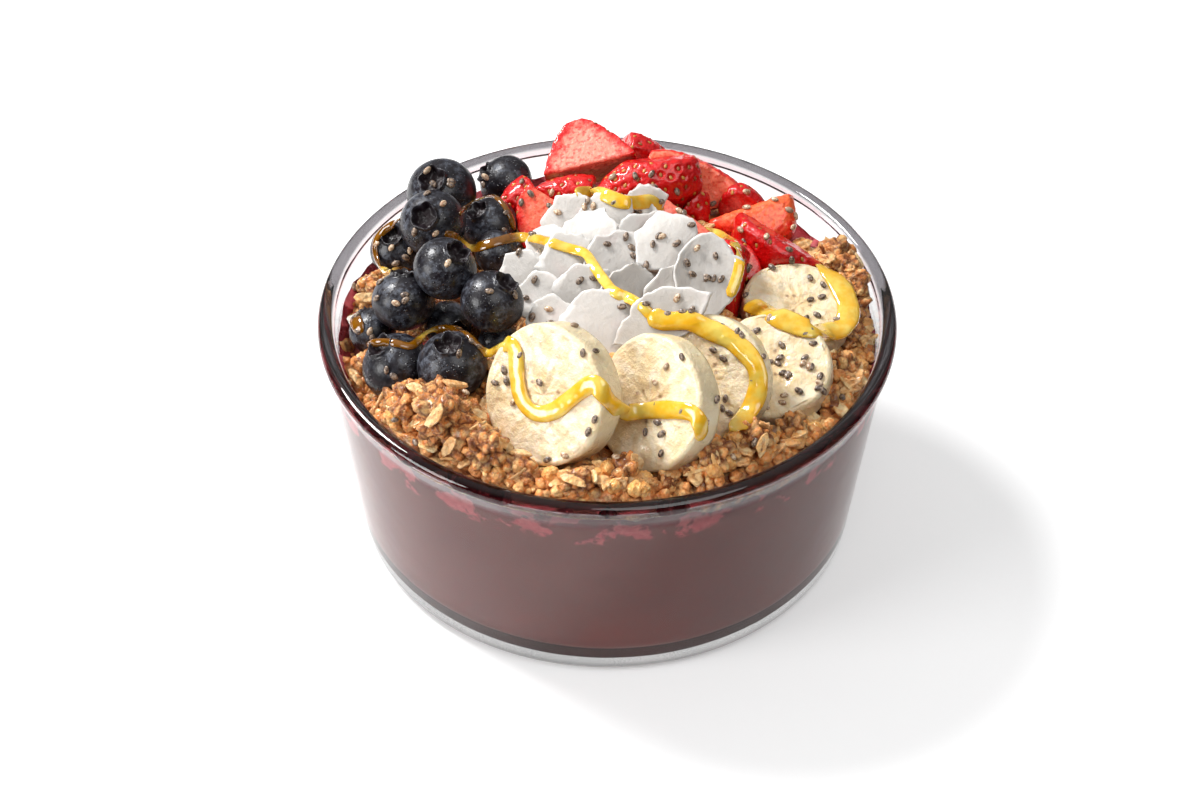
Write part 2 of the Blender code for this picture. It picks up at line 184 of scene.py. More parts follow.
def lamp(name, towards, size, energy):
    """A round soft lamp that shines on the bowl from a way off."""
    light = bpy.data.lights.new(name, "AREA")
    light.shape = "DISK"
    light.size = size
    light.energy = energy
    stand = bpy.data.objects.new(name, light)
    scene.collection.objects.link(stand)
    stand.location = Vector(towards).normalized() * LAMP_AWAY
    stand.rotation_euler = Vector(towards).to_track_quat("Z", "Y").to_euler()


lamp("lamp_behind_left", (-0.55, 0.35, 0.75), 0.40, 19.0)
lamp("lamp_left", (-0.95, -0.45, 0.45), 0.60, 9.0)
lamp("lamp_front", (0.30, -0.50, 1.0), 0.80, 5.0)

LOOK_DOWN = math.radians(42.2)
LEAN = math.radians(0.325)
FOCAL_LENGTH = 81.54
CAMERA_AWAY = 0.6
AIM = Vector((-1.466 * MM, 0.0, 28.65 * MM))
ahead = Vector((0.0, math.cos(LOOK_DOWN), -math.sin(LOOK_DOWN)))
upwards = Vector((0.0, math.sin(LOOK_DOWN), math.cos(LOOK_DOWN)))
level = Vector((1.0, 0.0, 0.0))
side = level * math.cos(LEAN) + upwards * math.sin(LEAN)
top = upwards * math.cos(LEAN) - level * math.sin(LEAN)
lens = bpy.data.cameras.new("camera")
lens.lens = FOCAL_LENGTH
camera = bpy.data.objects.new("camera", lens)
scene.collection.objects.link(camera)
camera.matrix_world = Matrix.Translation(AIM - ahead * CAMERA_AWAY) @ Matrix(
    (side, top, -ahead)).transposed().to_4x4()
scene.camera = camera

# The bowl: clear pressed glass, thick in the wall, with a rounded bead at the rim, a
# rounded well inside and a foot that is slightly hollow underneath.
WALL_AT_RIM = 3.6 * MM
BEAD_STEP = 1.3 * MM  # how far the bead stands out from the wall below it
BEAD_HEIGHT = 2.6 * MM
FOOT_STEP = 6.8 * MM  # how much narrower the foot is than the rim
FOOT_ROUNDING = 3.5 * MM
HOLLOW = 0.9 * MM  # how far the foot is hollowed underneath
BASE = 4.6 * MM  # how thick the glass is under the acai
WELL_STEP = 9.8 * MM  # how much narrower the well is than the rim
WELL_ROUNDING = 6.5 * MM
TURNS = 192

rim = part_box("bowl")[1].x
mouth = rim - WALL_AT_RIM
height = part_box("bowl")[1].z


def arc(across, up, wide, tall, start, end, steps):
    """Points round part of an oval, as pairs of radius and height."""
    turns = [math.radians(start + (end - start) * i / steps) for i in range(steps + 1)]
    return [(across + wide * math.cos(turn), up + tall * math.sin(turn)) for turn in turns]


def line(start, end, steps):
    """Points along a straight line, without its two ends."""
    return [(start[0] + (end[0] - start[0]) * i / steps,
             start[1] + (end[1] - start[1]) * i / steps) for i in range(1, steps)]


def wall_inside(z):
    """The radius of the bowl's inner wall at a height."""
    up = (z - BASE - WELL_ROUNDING) / (height - BASE - WELL_ROUNDING)
    return rim - WELL_STEP + (mouth - rim + WELL_STEP) * up


def circle(radius, steps):
    """Places evenly round a circle about the bowl's axis."""
    return [(radius * math.cos(math.tau * i / steps), radius * math.sin(math.tau * i / steps))
            for i in range(steps)]


def join_rows(made, rows):
    """Adds the faces between each closed row of points and the next one."""
    for low, high in zip(rows, rows[1:]):
        for i in range(len(low)):
            after = (i + 1) % len(low)
            corners = (low[i], low[after], high[after], high[i])
            made.faces.new(list(dict.fromkeys(corners)))


def turned(profile, steps):
    """A shape turned about the bowl's axis from a line of radii and heights."""
    made = bmesh.new()
    rows = []
    for radius, z in profile:
        if radius < 1e-6:
            rows.append([made.verts.new((0, 0, z))] * steps)
        else:
            rows.append([made.verts.new((x, y, z)) for x, y in circle(radius, steps)])
    join_rows(made, rows)
    return made


def put_on_bowl(mesh, material):
    """Makes a mesh into a piece of the same name that rides on the bowl."""
    mesh.shade_smooth()
    mesh.materials.append(material)
    piece = bpy.data.objects.new(mesh.name, mesh)
    scene.collection.objects.link(piece)
    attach(piece, "root")
    return piece


def add_piece(name, shape, material, slot, *stands_for):
    """Turns a shape into a piece on the bowl and hides the solids it stands for."""
    bmesh.ops.recalc_face_normals(shape, faces=shape.faces)
    mesh = bpy.data.meshes.new(name)
    shape.to_mesh(mesh)
    shape.free()
    piece = put_on_bowl(mesh, material)
    if stands_for:
        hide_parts(*stands_for)


glass, places = finish("clear_glass")
smudges = places.clouds(14).between(0.5, 0.75)
up = places.along(2)
# painted shade: the top of the bead is painted near black, standing in for the dark refraction
# and reflection seen along the rim
bead = up.between(height - 1.1 * MM, height - 0.4 * MM)
# painted refraction: a maroon band just under the bead, standing in for the acai seen through
# the bead
painted_acai_band = up.between(height - 2.7 * MM, height - 2.1 * MM) * (1 - bead)
clear = places.clouds(30).blend((0.87, 0.875, 0.87), (0.91, 0.91, 0.905))
maroon = places.clouds(8).blend((0.36, 0.10, 0.12), (0.62, 0.40, 0.42))
clear = (painted_acai_band * 0.8).blend(clear, maroon)
clear = bead.blend(clear, (0.05, 0.044, 0.05))
# painted shade: the foot is painted dark in streaky rings, standing in for the dark refraction
# seen through the thick foot
rings = places.stretched(0.12, 0.12, 5.0).clouds(2.5, 2.0).between(0.4, 0.6)
foot_band = 1 - up.between(1.8 * MM, 4.6 * MM)
painted_foot_shade = rings.blend((0.04, 0.036, 0.036), (0.20, 0.17, 0.17))
coat(places, base_color=(foot_band * 0.95).blend(clear, painted_foot_shade),
     roughness=0.012 + smudges * 0.02, transmission_weight=1.0, ior=1.47,
     normal=places.clouds(6, 1.0).relief(0.05))

foot = rim - FOOT_STEP
bead_top = height - 1.7 * MM
profile = [(0.0, HOLLOW), (20 * MM, HOLLOW), (38 * MM, HOLLOW)]
profile += arc(38 * MM, HOLLOW - 2.5 * MM, 6 * MM, 2.5 * MM, 80, 40, 4)
profile += [(44 * MM, 0.1 * MM), (45 * MM, 0.0), (48 * MM, 0.0)]
profile += arc(foot - FOOT_ROUNDING, FOOT_ROUNDING, FOOT_ROUNDING, FOOT_ROUNDING, -90, 0, 8)
neck = (rim - BEAD_STEP, height - BEAD_HEIGHT - 0.9 * MM)
profile += line((foot, FOOT_ROUNDING), neck, 14) + [neck]
profile += arc(rim - BEAD_STEP, bead_top, BEAD_STEP, height - BEAD_HEIGHT - neck[1] + 0.9 * MM,
               -80, 0, 5)
profile += arc(rim - 1.8 * MM, bead_top, 1.8 * MM, 1.7 * MM, 10, 90, 7)
profile += arc(mouth + 1.8 * MM, bead_top, 1.8 * MM, 1.7 * MM, 90, 180, 7)[1:]
well = (rim - WELL_STEP, BASE + WELL_ROUNDING)
profile += line((mouth, bead_top), well, 14)
profile += arc(well[0] - WELL_ROUNDING, well[1], WELL_ROUNDING, WELL_ROUNDING, 0, -90, 10)
profile += [(20 * MM, BASE), (0.0, BASE)]
shape = turned(profile, TURNS)
for point in shape.verts:
    if 8 * MM < point.co.z < height - 4 * MM:
        uneven = 1 + 0.0006 * noise(point.co / (9 * MM))
        point.co.x *= uneven
        point.co.y *= uneven
add_piece("glass_bowl", shape, glass, "glass", "bowl")

# The acai: thick frozen pulp, blended smooth and spooned in up to a wavy level. It wets
# the glass all round, and lumps of berry show against the wall near its top.
INTO_WALL = 0.25 * MM  # how far it reaches into the glass
OVERHEAD = 0.2  # a height well above everything
DOWN = Vector((0, 0, -1))


def tree_of_node(name):
    """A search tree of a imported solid's faces."""
    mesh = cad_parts[name].data
    return BVHTree.FromPolygons([v.co for v in mesh.vertices],
                                [list(face.vertices) for face in mesh.polygons])


def top_of(tree, x, y, otherwise):
    """The height of the top of a search tree's faces at a place."""
    hit = tree.ray_cast(Vector((x, y, OVERHEAD)), DOWN)[0]
    return hit.z if hit else otherwise


acai_solid = tree_of_node("acai")
granola_solid = tree_of_node("granola")
acai_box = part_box("acai")
acai_level = top_of(acai_solid, 0, 0, acai_box[1].z)


def acai_top(x, y):
    """The acai's wavy top; at the wall it is smeared up the glass beside the granola."""
    share = min(1.0, (acai_box[1].x - 0.4 * MM) / max(math.hypot(x, y), MM))
    level = top_of(acai_solid, x * share, y * share, acai_level)
    marks = noise(Vector((x, y, 0)) / (5 * MM)) * 0.5 * MM
    at_wall = max(0.0, (math.hypot(x, y) - wall_inside(acai_level)) / MM + 2.0) / 2.0
    crust = top_of(granola_solid, x * share * 0.97, y * share * 0.97, level)
    most = max(0.0, min(crust - 0.6 * MM, height - 3.6 * MM) - level)
    compass = math.degrees(math.atan2(y, x))
    bare = math.exp(-((compass + 58) / 22) ** 2) * 0.5
    ragged = 0.95 - bare + 0.45 * noise(Vector((x, y, 0)) / (6 * MM))
    marks += min(1.0, at_wall) ** 2 * most * max(0.0, min(1.0, ragged))
    return level + marks + noise(Vector((x, y, MM)) / (1.6 * MM)) * 0.18 * MM


def domed(side_profile, rings, steps, height_at):
    """A solid with a turned side and underside and an uneven top on rings of points."""
    made = turned(side_profile, steps)
    made.verts.ensure_lookup_table()
    edge = list(made.verts)[-steps:]
    rows = [edge]
    for ring in range(rings - 1, 0, -1):
        radius = side_profile[-1][0] * (ring / rings) ** 0.9
        rows.append([made.verts.new((x, y, height_at(x, y))) for x, y in circle(radius, steps)])
    rows.append([made.verts.new((0, 0, height_at(0, 0)))] * steps)
    join_rows(made, rows)
    for point in edge:
        point.co.z = height_at(point.co.x, point.co.y)
    return made


def meet_wall(shape, radius, beyond):
    """Moves the top edge of a filling out or in to where the sloping wall is at its height."""
    for point in shape.verts:
        out = math.hypot(point.co.x, point.co.y)
        if out > radius - 0.05 * MM:
            stretch = (wall_inside(point.co.z) + beyond) / out
            point.co.x *= stretch
            point.co.y *= stretch


acai_look, places = finish("acai_pulp")
up = places.along(2)
pulp = places.clouds(9).blend(tint(114, 56, 50), tint(130, 68, 60))
low = (1 - up.between(7 * MM, 24 * MM)) * places.clouds(16).between(0.35, 0.65)
pulp = (low * 0.6).blend(pulp, tint(140, 58, 46))
high = (up + places.clouds(9) * 0.012).between(49.0 * MM, 50.5 * MM)
lumps = places.clouds(7, 4.0).between(0.49, 0.56) * high
fresh = up.between(46 * MM, 47.5 * MM) * (1 - lumps)
pulp = (fresh * 0.85).blend(pulp, places.clouds(2).blend(tint(92, 14, 24), tint(150, 40, 52)))
pulp = lumps.blend(pulp, places.clouds(1.3).blend(tint(170, 48, 62), tint(224, 118, 120)))
specks = (1 - places.cells(3.0).between(0.03, 0.07)) * places.clouds(5).between(0.45, 0.55)
coat(places, base_color=(specks * 0.6).blend(pulp, tint(200, 130, 110)),
     roughness=0.42 - fresh * 0.2 + places.clouds(2) * 0.15, specular_ior_level=0.15,
     normal=(fresh * places.clouds(0.9)).relief(0.15))

floor = BASE - INTO_WALL
profile = [(0.0, floor), (25 * MM, floor)]
profile += arc(well[0] - WELL_ROUNDING, well[1], WELL_ROUNDING + INTO_WALL,
               WELL_ROUNDING + INTO_WALL, -90, 0, 10)
fill_top = (wall_inside(acai_level) + INTO_WALL, acai_level)
profile += line(profile[-1], fill_top, 16) + [fill_top]
shape = domed(profile, 44, TURNS, acai_top)
meet_wall(shape, fill_top[0], INTO_WALL)
add_piece("acai_fill", shape, acai_look, "acai", "acai")

# The granola: baked oats in honey, broken up. A crumbly heap lies on the acai, with whole
# clumps, loose oat flakes, puffed grains and crumbs over it, each scattered at its size.
CORE_DOWN = 1.3 * MM  # how far the core lies under the heap's outline
COARSE = 1.9 * MM  # the size of the grains on the heap
CHUNKY = 2.1 * MM  # and of those on the clumps
FINE = 1.0 * MM


def grains(at, size):
    """Rounded grains packed together: 1 on top of a grain and 0 in the dips between."""
    near = voronoi(at / size)[0]
    return max(0.0, 1 - near[0] * near[0] * 2.2)


def dip(at, size):
    """How deep a place is in a crack between grains, for the painted shade there: 1 right where
    two grains meet.
    """
    near = voronoi(at / size)[0]
    return math.exp(-((near[1] - near[0]) / 0.22) ** 2)


def among_berries(x, y):
    """How far a place is in among the blueberries, where hardly any granola lies."""
    left = min(1.0, max(0.0, (-14 * MM - x) / (3 * MM)))
    patch = 1.0 if math.hypot(x, y) < 0.8 * mouth else (
        min(1.0, max(0.0, 0.75 + 1.6 * noise(Vector((x, y, 0)) / (7 * MM)))))
    return left * min(1.0, max(0.0, (y + 24 * MM) / (5 * MM))) * patch


def core_top(x, y):
    """The heap under the loose pieces; where it is thin it sinks into the acai."""
    out = math.hypot(x, y)
    share = min(1.0, (mouth - 1.5 * MM) / max(out, MM))
    at = Vector((x * share, y * share, 0))
    base = top_of(acai_solid, at.x * 0.97, at.y * 0.97, acai_level)
    top = top_of(granola_solid, at.x * 0.97, at.y * 0.97, base)
    thick = top - base
    sunk = max(0.0, 1 - (thick - 1.5 * MM) / (1.6 * MM)) * 2.0 * MM
    sunk += among_berries(x, y) * 3.0 * MM
    rough = grains(Vector((x, y, 0)), COARSE) * 1.0 * MM
    rough += grains(Vector((x, y, 0)), FINE) * 0.35 * MM
    rough += noise(Vector((x, y, 5 * MM)) / (4 * MM)) * 0.8 * MM
    return base + thick - CORE_DOWN - sunk + rough


def baked(name, light, brown, dark, size):
    """A finish of baked oats: grains of many tones, with painted shade in the cracks, a little
    shiny.
    """
    material, places = finish(name)
    tone = places.painted("tone")
    grain = places.node("TexVoronoi", {}, {"Vector": places, "Scale": 1 / (size * MM)}, "Color")
    grain = places.node("SeparateColor", {}, {"Color": grain})
    body = grain.between(0.1, 0.9).blend(brown, light)
    body = (places.clouds(size * 2.5).between(0.45, 0.65) * 0.6).blend(body, brown)
    body = (tone * 0.7).blend(body, dark)
    # painted shade: the cracks between grains, at the cell edges and where the mesh carries
    # "dip", are painted dark
    body = (places.cells(size).between(0.45, 0.8) * 0.4).blend(body, dark)
    body = (places.painted("dip") * 0.9).blend(body, tint(92, 38, 16))
    body = (places.clouds(size * 0.4, 3.0, 0.7).between(0.58, 0.7) * 0.6).blend(body, light)
    bumps = places.clouds(size * 0.4, 4.0, 0.75) * 0.7 - places.cells(size * 0.7) * 0.8
    coat(places, base_color=body, roughness=0.32 + grain * 0.35, specular_ior_level=0.35,
         coat_weight=0.3, coat_roughness=0.12, normal=bumps.relief(0.5 * size))
    return material


crumbly = baked("granola_baked", tint(255, 208, 138), tint(252, 160, 84), tint(156, 68, 28), 1.1)
low, side_top = acai_level - 3 * MM, wall_inside(acai_level + 3 * MM)
profile = [(0.0, low), (wall_inside(low) - 0.5 * MM, low), (side_top, acai_level + 3 * MM)]
shape = domed(profile, 78, 240, core_top)
meet_wall(shape, side_top, 0.05 * MM)
# the crack marks that the painted shade in the cracks follows
cracks = shape.verts.layers.float.new("dip")
for point in shape.verts:
    point[cracks] = dip(Vector((point.co.x, point.co.y, 0)), COARSE)
add_piece("granola_heap", shape, crumbly, "granola", "granola")


def ball(detail):
    """The points and faces of a ball of radius 1."""
    made = bmesh.new()
    bmesh.ops.create_icosphere(made, subdivisions=detail, radius=1.0)
    points = np.array([v.co[:] for v in made.verts])
    faces = np.array([[v.index for v in face.verts] for face in made.faces])
    made.free()
    return points, faces


def clump(radius, seed, detail):
    """A broken lump of oats stuck together, knobbly all over."""
    points, faces = ball(detail)
    shift = Vector((seed * 7.3, seed * 3.1, seed * 5.7))
    made = []
    dips = []
    for row in points:
        way = Vector(row)
        swell = (0.9 + 0.42 * noise(way * 1.1 + shift)
                 + 0.38 * noise(way * 2.4 + shift))
        at = way * radius * swell
        dips.append(dip(at + shift * MM, CHUNKY))
        at += way * grains(at + shift * MM, CHUNKY) * 1.15 * MM
        at += way * grains(at + shift * MM, FINE) * 0.45 * MM
        at += way * noise(at / (0.55 * MM)) * 0.14 * MM
        made.append(at)
    return np.array(made), faces, dips


def oat(long, wide, seed):
    """A rolled oat: a thin curled oval with a crease along it and an uneven edge."""
    points, faces = ball(3)
    shift = Vector((seed * 2.3, seed * 9.1, 0))
    made = []
    for x, y, z in points:
        edge = 1 + 0.26 * noise(Vector((x, y, 0)) * 1.8 + shift)
        thick = 0.20 * wide * (1 + 0.5 * noise(Vector((x, y, 2)) * 2 + shift))
        bend = 0.12 * long * (x * x) * noise(shift) * 2 + 0.12 * wide * y * y
        crease = -0.10 * wide * math.exp(-(y / 0.12) ** 2) * (1 if z > 0 else -0.3)
        made.append((x * long / 2 * edge, y * wide / 2 * edge,
                     math.copysign(abs(z) ** 0.6, z) * thick + bend + crease * (1 - x * x)))
    return np.array(made), faces


def bit(radius, seed, detail, knobbly):
    """A small crumb or puffed grain."""
    points, faces = ball(detail)
    shift = Vector((seed * 4.7, seed * 1.9, seed * 8.3))
    made = [Vector(row) * radius * (1 + knobbly * noise(Vector(row) * 1.3 + shift)
                                    + knobbly * 0.4 * noise(Vector(row) * 3.4 + shift))
            for row in points]
    return np.array(made), faces


def strewn(name, material, laid):
    """One piece from many small shapes, each with its own place, turn and tone."""
    all_points = []
    all_faces = []
    tones = []
    cracks = []
    count = 0
    for (points, faces, *dips), place, turn, tone in laid:
        all_points.append(points @ np.array(turn.to_matrix()).T + np.array(place))
        all_faces.append(faces + count)
        tones += [tone] * len(points)
        cracks += dips[0] if dips else [0.0] * len(points)
        count += len(points)
    mesh = bpy.data.meshes.new(name)
    mesh.from_pydata(np.concatenate(all_points).tolist(), [],
                     np.concatenate(all_faces).tolist())
    mesh.attributes.new("tone", "FLOAT", "POINT").data.foreach_set("value", tones)
    mesh.attributes.new("dip", "FLOAT", "POINT").data.foreach_set("value", cracks)
    put_on_bowl(mesh, material)


fruit_names = [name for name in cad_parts
               if name.split("_")[0] in ("blueberry", "strawberry", "coconut", "banana")]
fruit_trees = {name: tree_of_node(name) for name in fruit_names}
draw = random.Random(11)


def spin(angle, axis="Z"):
    """A turn by an angle about an axis."""
    return Matrix.Rotation(angle, 4, axis).to_quaternion()


def any_way():
    """A way drawn evenly from all round."""
    return Vector((draw.gauss(0, 1), draw.gauss(0, 1), draw.gauss(0, 1))).normalized()


def any_turn():
    """A turn by any angle about any way."""
    return spin(draw.uniform(0, math.tau), any_way())


def covered(x, y, z, room):
    """Whether fruit lies over a place on the heap, or nearer to it than the room needed."""
    at = Vector((x, y, z + room * 0.5))
    for tree in fruit_trees.values():
        if tree.ray_cast(Vector((x, y, OVERHEAD)), DOWN)[0] is not None:
            return True
        if tree.find_nearest(at, room)[0] is not None:
            return True
    return False


def share_here(x, y):
    """How thickly the heap is strewn: full at the front and right, bare at the back."""
    compass = math.degrees(math.atan2(y, x))
    out = math.hypot(x, y)
    if among_berries(x, y) > 0.6:
        return 0.02 if out < 0.8 * mouth else 0.15
    if out < 0.72 * mouth:
        return 1.0
    if -170 < compass < 28:
        return 1.0
    if compass <= -170 or compass > 158:
        return 0.45
    if compass < 42:
        return 0.5 if out < 0.88 * mouth else 0.1
    return 0.06


def open_places(count, size, sink):
    """Places on the heap that no fruit covers, as far from the glass as the size needs."""
    found = []
    tries = 0
    while len(found) < count and tries < count * 30:
        tries += 1
        out = mouth * math.sqrt(draw.random())
        compass = draw.uniform(0, math.tau)
        x, y = out * math.cos(compass), out * math.sin(compass)
        z = core_top(x, y)
        if out > wall_inside(z) - size * 0.9:
            continue
        if draw.random() > share_here(x, y) or covered(x, y, z, size * 0.8):
            continue
        found.append(Vector((x, y, z + size * (1 - sink))))
    return found


# Whole clumps: where each lies across the bowl, and its radius, in millimetres.
CLUMPS = (
    (-33, -39, 6.0), (-40, -34, 4.2), (-29, -44, 3.8), (-24, -46.5, 4.4), (-18, -50, 3.2),
    (50, 18.5, 3.8), (53, 11, 3.4), (51.5, 14.5, 3.0), (-51, 12, 2.8), (-52, 4, 2.6),
    (-50, -14, 2.8), (-47, -22, 3.0), (-6, -54, 2.8), (3, -52, 3.0), (12, -51, 2.6),
    (22, -48, 3.2), (30, -43, 3.0), (38, -37, 3.0), (46, -26, 2.6), (50, -14, 2.6),
    (53, -3, 2.6), (54, 5, 2.4), (33, -38, 2.8), (-44, -28, 2.8), (17, -48, 2.4),
)
laid = []
stuck = []
for number, (x, y, radius) in enumerate(CLUMPS):
    at = Vector((x, y, 0)) * MM
    z = core_top(at.x, at.y) + radius * 0.45 * MM
    out = math.hypot(at.x, at.y)
    most = wall_inside(z) - radius * 1.15 * MM
    at *= min(1.0, most / out)
    shape = clump(radius * MM, number + 1, 5 if radius > 4 else 4)
    place = Vector((at.x, at.y, z))
    turn = any_turn()
    laid.append((shape, place, turn, draw.uniform(0.0, 0.35)))
    for _ in range(int(radius * 1.3)):
        spot = Vector(draw.choice(shape[0]))
        stuck.append((place + turn @ spot, turn @ spot.normalized()))
strewn("granola_clumps", crumbly, laid)

oat_look = baked("granola_oats", tint(255, 232, 178), tint(254, 200, 130), tint(214, 128, 62),
                 1.6)
laid = []
loose = [(place, Vector((0, 0, 1))) for place in open_places(230, 1.3 * MM, 0.0)]
for number, (place, way) in enumerate(loose + stuck):
    lean = spin(draw.gauss(0, 0.5), any_way())
    turn = lean @ way.to_track_quat("Z", "Y") @ spin(draw.uniform(0, math.tau))
    shape = oat(draw.uniform(3.8, 6.4) * MM, draw.uniform(1.8, 2.9) * MM, number + 1)
    laid.append((shape, place, turn, draw.uniform(0.0, 0.6)))
strewn("oat_flakes", oat_look, laid)

puff_look = baked("granola_puffs", tint(255, 214, 140), tint(254, 180, 98), tint(206, 112, 48),
                  0.8)
laid = []
for number, place in enumerate(open_places(90, 1.8 * MM, 0.25)):
    shape = bit(draw.uniform(1.3, 2.0) * MM, number + 1, 4, 0.22)
    laid.append((shape, place, any_turn(), draw.uniform(0.0, 0.4)))
strewn("granola_puffs", puff_look, laid)

laid = []
for number, place in enumerate(open_places(900, 0.8 * MM, 0.3)):
    size = draw.uniform(0.5, 1.5) ** 1.2
    shape = bit(size * MM, number + 1, 2, 0.5)
    laid.append((shape, place, any_turn(), draw.uniform(0.0, 0.8)))
strewn("granola_crumbs", crumbly, laid)

# The blueberries: fresh and whole, each a slightly flat ball with a dusty bloom and, where
# its flower was, a ragged five-pointed crown round a dark pit.


def solids_of(kind):
    """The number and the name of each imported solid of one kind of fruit."""
    return [(int(name.split("_")[1]), name) for name in fruit_names if name.startswith(kind)]


def solid_of(name):
    """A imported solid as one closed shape, its split points joined again."""
    made = bmesh.new()
    made.from_mesh(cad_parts[name].data)
    bmesh.ops.remove_doubles(made, verts=made.verts, dist=0.01 * MM)
    return made


def flat_faced(name):
    """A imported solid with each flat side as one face."""
    made = solid_of(name)
    bmesh.ops.dissolve_limit(made, angle_limit=math.radians(1.0),
                             verts=made.verts, edges=made.edges)
    return made


def marks_on(shape, *names):
    """Values that a shape carries at its points, each under its name."""
    return {name: shape.verts.layers.float.new(name) for name in names}


def hub_points(name, edges):
    """The two points on a turned solid's axis: the only ones where so many edges meet."""
    made = solid_of(name)
    hubs = [(v.co.copy(), sum(edge.calc_length() for edge in v.link_edges) / edges)
            for v in made.verts if len(v.link_edges) == edges]
    made.free()
    return sorted(hubs, key=lambda hub: hub[1])


def frame_along(way):
    """The turn that points +Z along a way."""
    return way.to_track_quat("Z", "Y").to_matrix()


def crown_line(step, star, ragged):
    """How far across and up a berry's crown runs, from its foot to the pit, and how dark."""
    lip = 0.36 + 0.05 * star + 0.04 * ragged
    raised = 0.10 + 0.05 * star + 0.10 * ragged
    if step < LIP_AT:
        part = step / LIP_AT
        start = math.cos(math.radians(CROWN_FROM))
        return (start + (lip - start) * part, 0.812 + 0.045 * part + raised * part ** 3,
                part ** 3 * 0.3)
    part = (step - LIP_AT) / (1 - LIP_AT)
    inner = min(1.0, part / 0.35)
    hole = 0.17 + 0.14 * star + 0.05 * ragged
    across = lip + (hole - lip) * inner if part < 0.35 else hole * (1 - (part - 0.35) / 0.65)
    top_height = 0.857 + raised
    up = top_height + (0.67 - top_height) * inner ** 0.8
    up += 0.03 * max(0.0, part - 0.7) / 0.3
    return across, up, 0.3 + 0.7 * inner


BERRY_EDGES = 10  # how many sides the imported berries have
BERRY_TURNS = 64
FLATNESS = 0.92  # how tall a berry is for its width
BASE_TO_PIT = 1.62  # how far its pit is from its base, for a radius of 1
FULLER = 1.04  # the round berry is this much wider than its flat-sided solid
CROWN_FROM = 62  # the height angle on the berry where its crown begins
LIP_AT = 0.45  # the share of the crown's line that lies outside its lip

berry_look, places = finish("blueberry_skin")
deep = places.painted("pit")
mottle = places.clouds(5, 4.0, 0.6)
bloom = places.clouds(1.3, 5.0, 0.75).between(0.42, 0.66) * mottle.between(0.34, 0.6)
rubbed = places.clouds(7, 2.0).between(0.5, 0.62)
bloom = bloom * (1 - rubbed * 0.8) * (1 - deep)
skin = mottle.blend(tint(8, 9, 13), tint(34, 28, 34))
skin = (bloom * 0.6).blend(skin, tint(104, 110, 122))
# pale specks: partly bloom dust, partly painted glints of the water drops
dust_and_glints = 1 - places.cells(0.9).between(0.05, 0.16)
skin = (dust_and_glints * places.clouds(3).between(0.42, 0.6) * 0.6).blend(skin, tint(168, 176, 188))
skin = deep.blend(skin, places.clouds(1.5).blend(tint(10, 8, 12), tint(46, 30, 34)))
drops = 1 - places.cells(0.75).between(0.12, 0.36)
wet = drops * places.clouds(4).between(0.42, 0.56)
coat(places, base_color=skin, roughness=0.3 + bloom * 0.4 + deep * 0.15 - wet * 0.15,
     coat_weight=0.1 + wet * 0.9, coat_roughness=0.05, specular_ior_level=0.4,
     normal=(wet * 0.8 + places.clouds(0.5, 3.0) * 0.35).relief(0.2))

for number, name in solids_of("blueberry"):
    (pit, _), (base, _) = hub_points(name, BERRY_EDGES)
    axis = (pit - base).normalized()
    radius = (pit - base).length / BASE_TO_PIT
    centre = base + axis * radius * FLATNESS
    radius *= FULLER
    turn = frame_along(axis)
    shift = Vector((number * 3.7, number * 1.3, number * 2.9))
    shape = bmesh.new()
    pits = shape.verts.layers.float.new("pit")
    rows = []
    heights = [-90 + (90 + CROWN_FROM) * (i / 26) for i in range(27)]
    stations = [("body", h) for h in heights] + [("crown", i / 17) for i in range(1, 18)]
    for kind, step in stations:
        row = []
        for i in range(BERRY_TURNS):
            angle = math.tau * i / BERRY_TURNS
            ragged = noise(Vector((math.cos(angle), math.sin(angle), 0)) * 2.2 + shift)
            star = math.cos(5 * angle + number) * 0.5 + 0.5
            if kind == "body":
                h = math.radians(step)
                across, up, dark = math.cos(h), FLATNESS * math.sin(h), 0.0
            else:
                across, up, dark = crown_line(step, star, ragged)
            local = Vector((across * math.cos(angle), across * math.sin(angle), up))
            swell = 1 + 0.015 * noise(local * 1.6 + shift)
            wrinkle = 0.02 * noise(local * 7 + shift) * max(0.0, up - 0.45)
            local *= swell + wrinkle
            point = shape.verts.new(turn @ (local * radius) + centre)
            point[pits] = dark
            row.append(point)
        rows.append(row)
    join_rows(shape, rows)
    bmesh.ops.remove_doubles(shape, verts=shape.verts, dist=0.004 * MM)
    add_piece(f"berry_{number:02d}", shape, berry_look, "blueberry", name)

# The banana: ripe and firm, cut across into thick slices. The cut face is fibrous, with
# three seams and tiny seeds round its middle, and the side keeps faint ridges.
SLICE_TURNS = 96

banana_look, places = finish("banana_flesh")
inner = places.painted("heart")
side_mask = places.painted("side")
streaks = places.painted("streak")
flesh = places.clouds(3).between(0.3, 0.7).blend(tint(226, 199, 152), tint(240, 220, 184))
flesh = (streaks.between(0.35, 0.8) * 0.6).blend(flesh, tint(246, 234, 208))
flesh = (places.clouds(5).between(0.5, 0.68) * 0.35).blend(flesh, tint(228, 198, 142))
flesh = (inner * 0.7).blend(flesh, tint(230, 194, 138))
flesh = (places.painted("seed") * 0.85).blend(flesh, tint(128, 84, 48))
flesh = (side_mask * 0.6).blend(flesh, tint(232, 216, 178))
wet = places.clouds(3).between(0.4, 0.65)
fibres = places.clouds(0.9, 4.0, 0.7) * 0.6 + places.clouds(2.2, 4.0, 0.65) * 1.0
coat(places, base_color=flesh, roughness=0.5 - wet * 0.25, coat_weight=0.5,
     coat_roughness=0.1, subsurface_weight=0.3, subsurface_radius=(1.0, 0.7, 0.35),
     subsurface_scale=2.0 * MM, normal=fibres.relief(0.55))

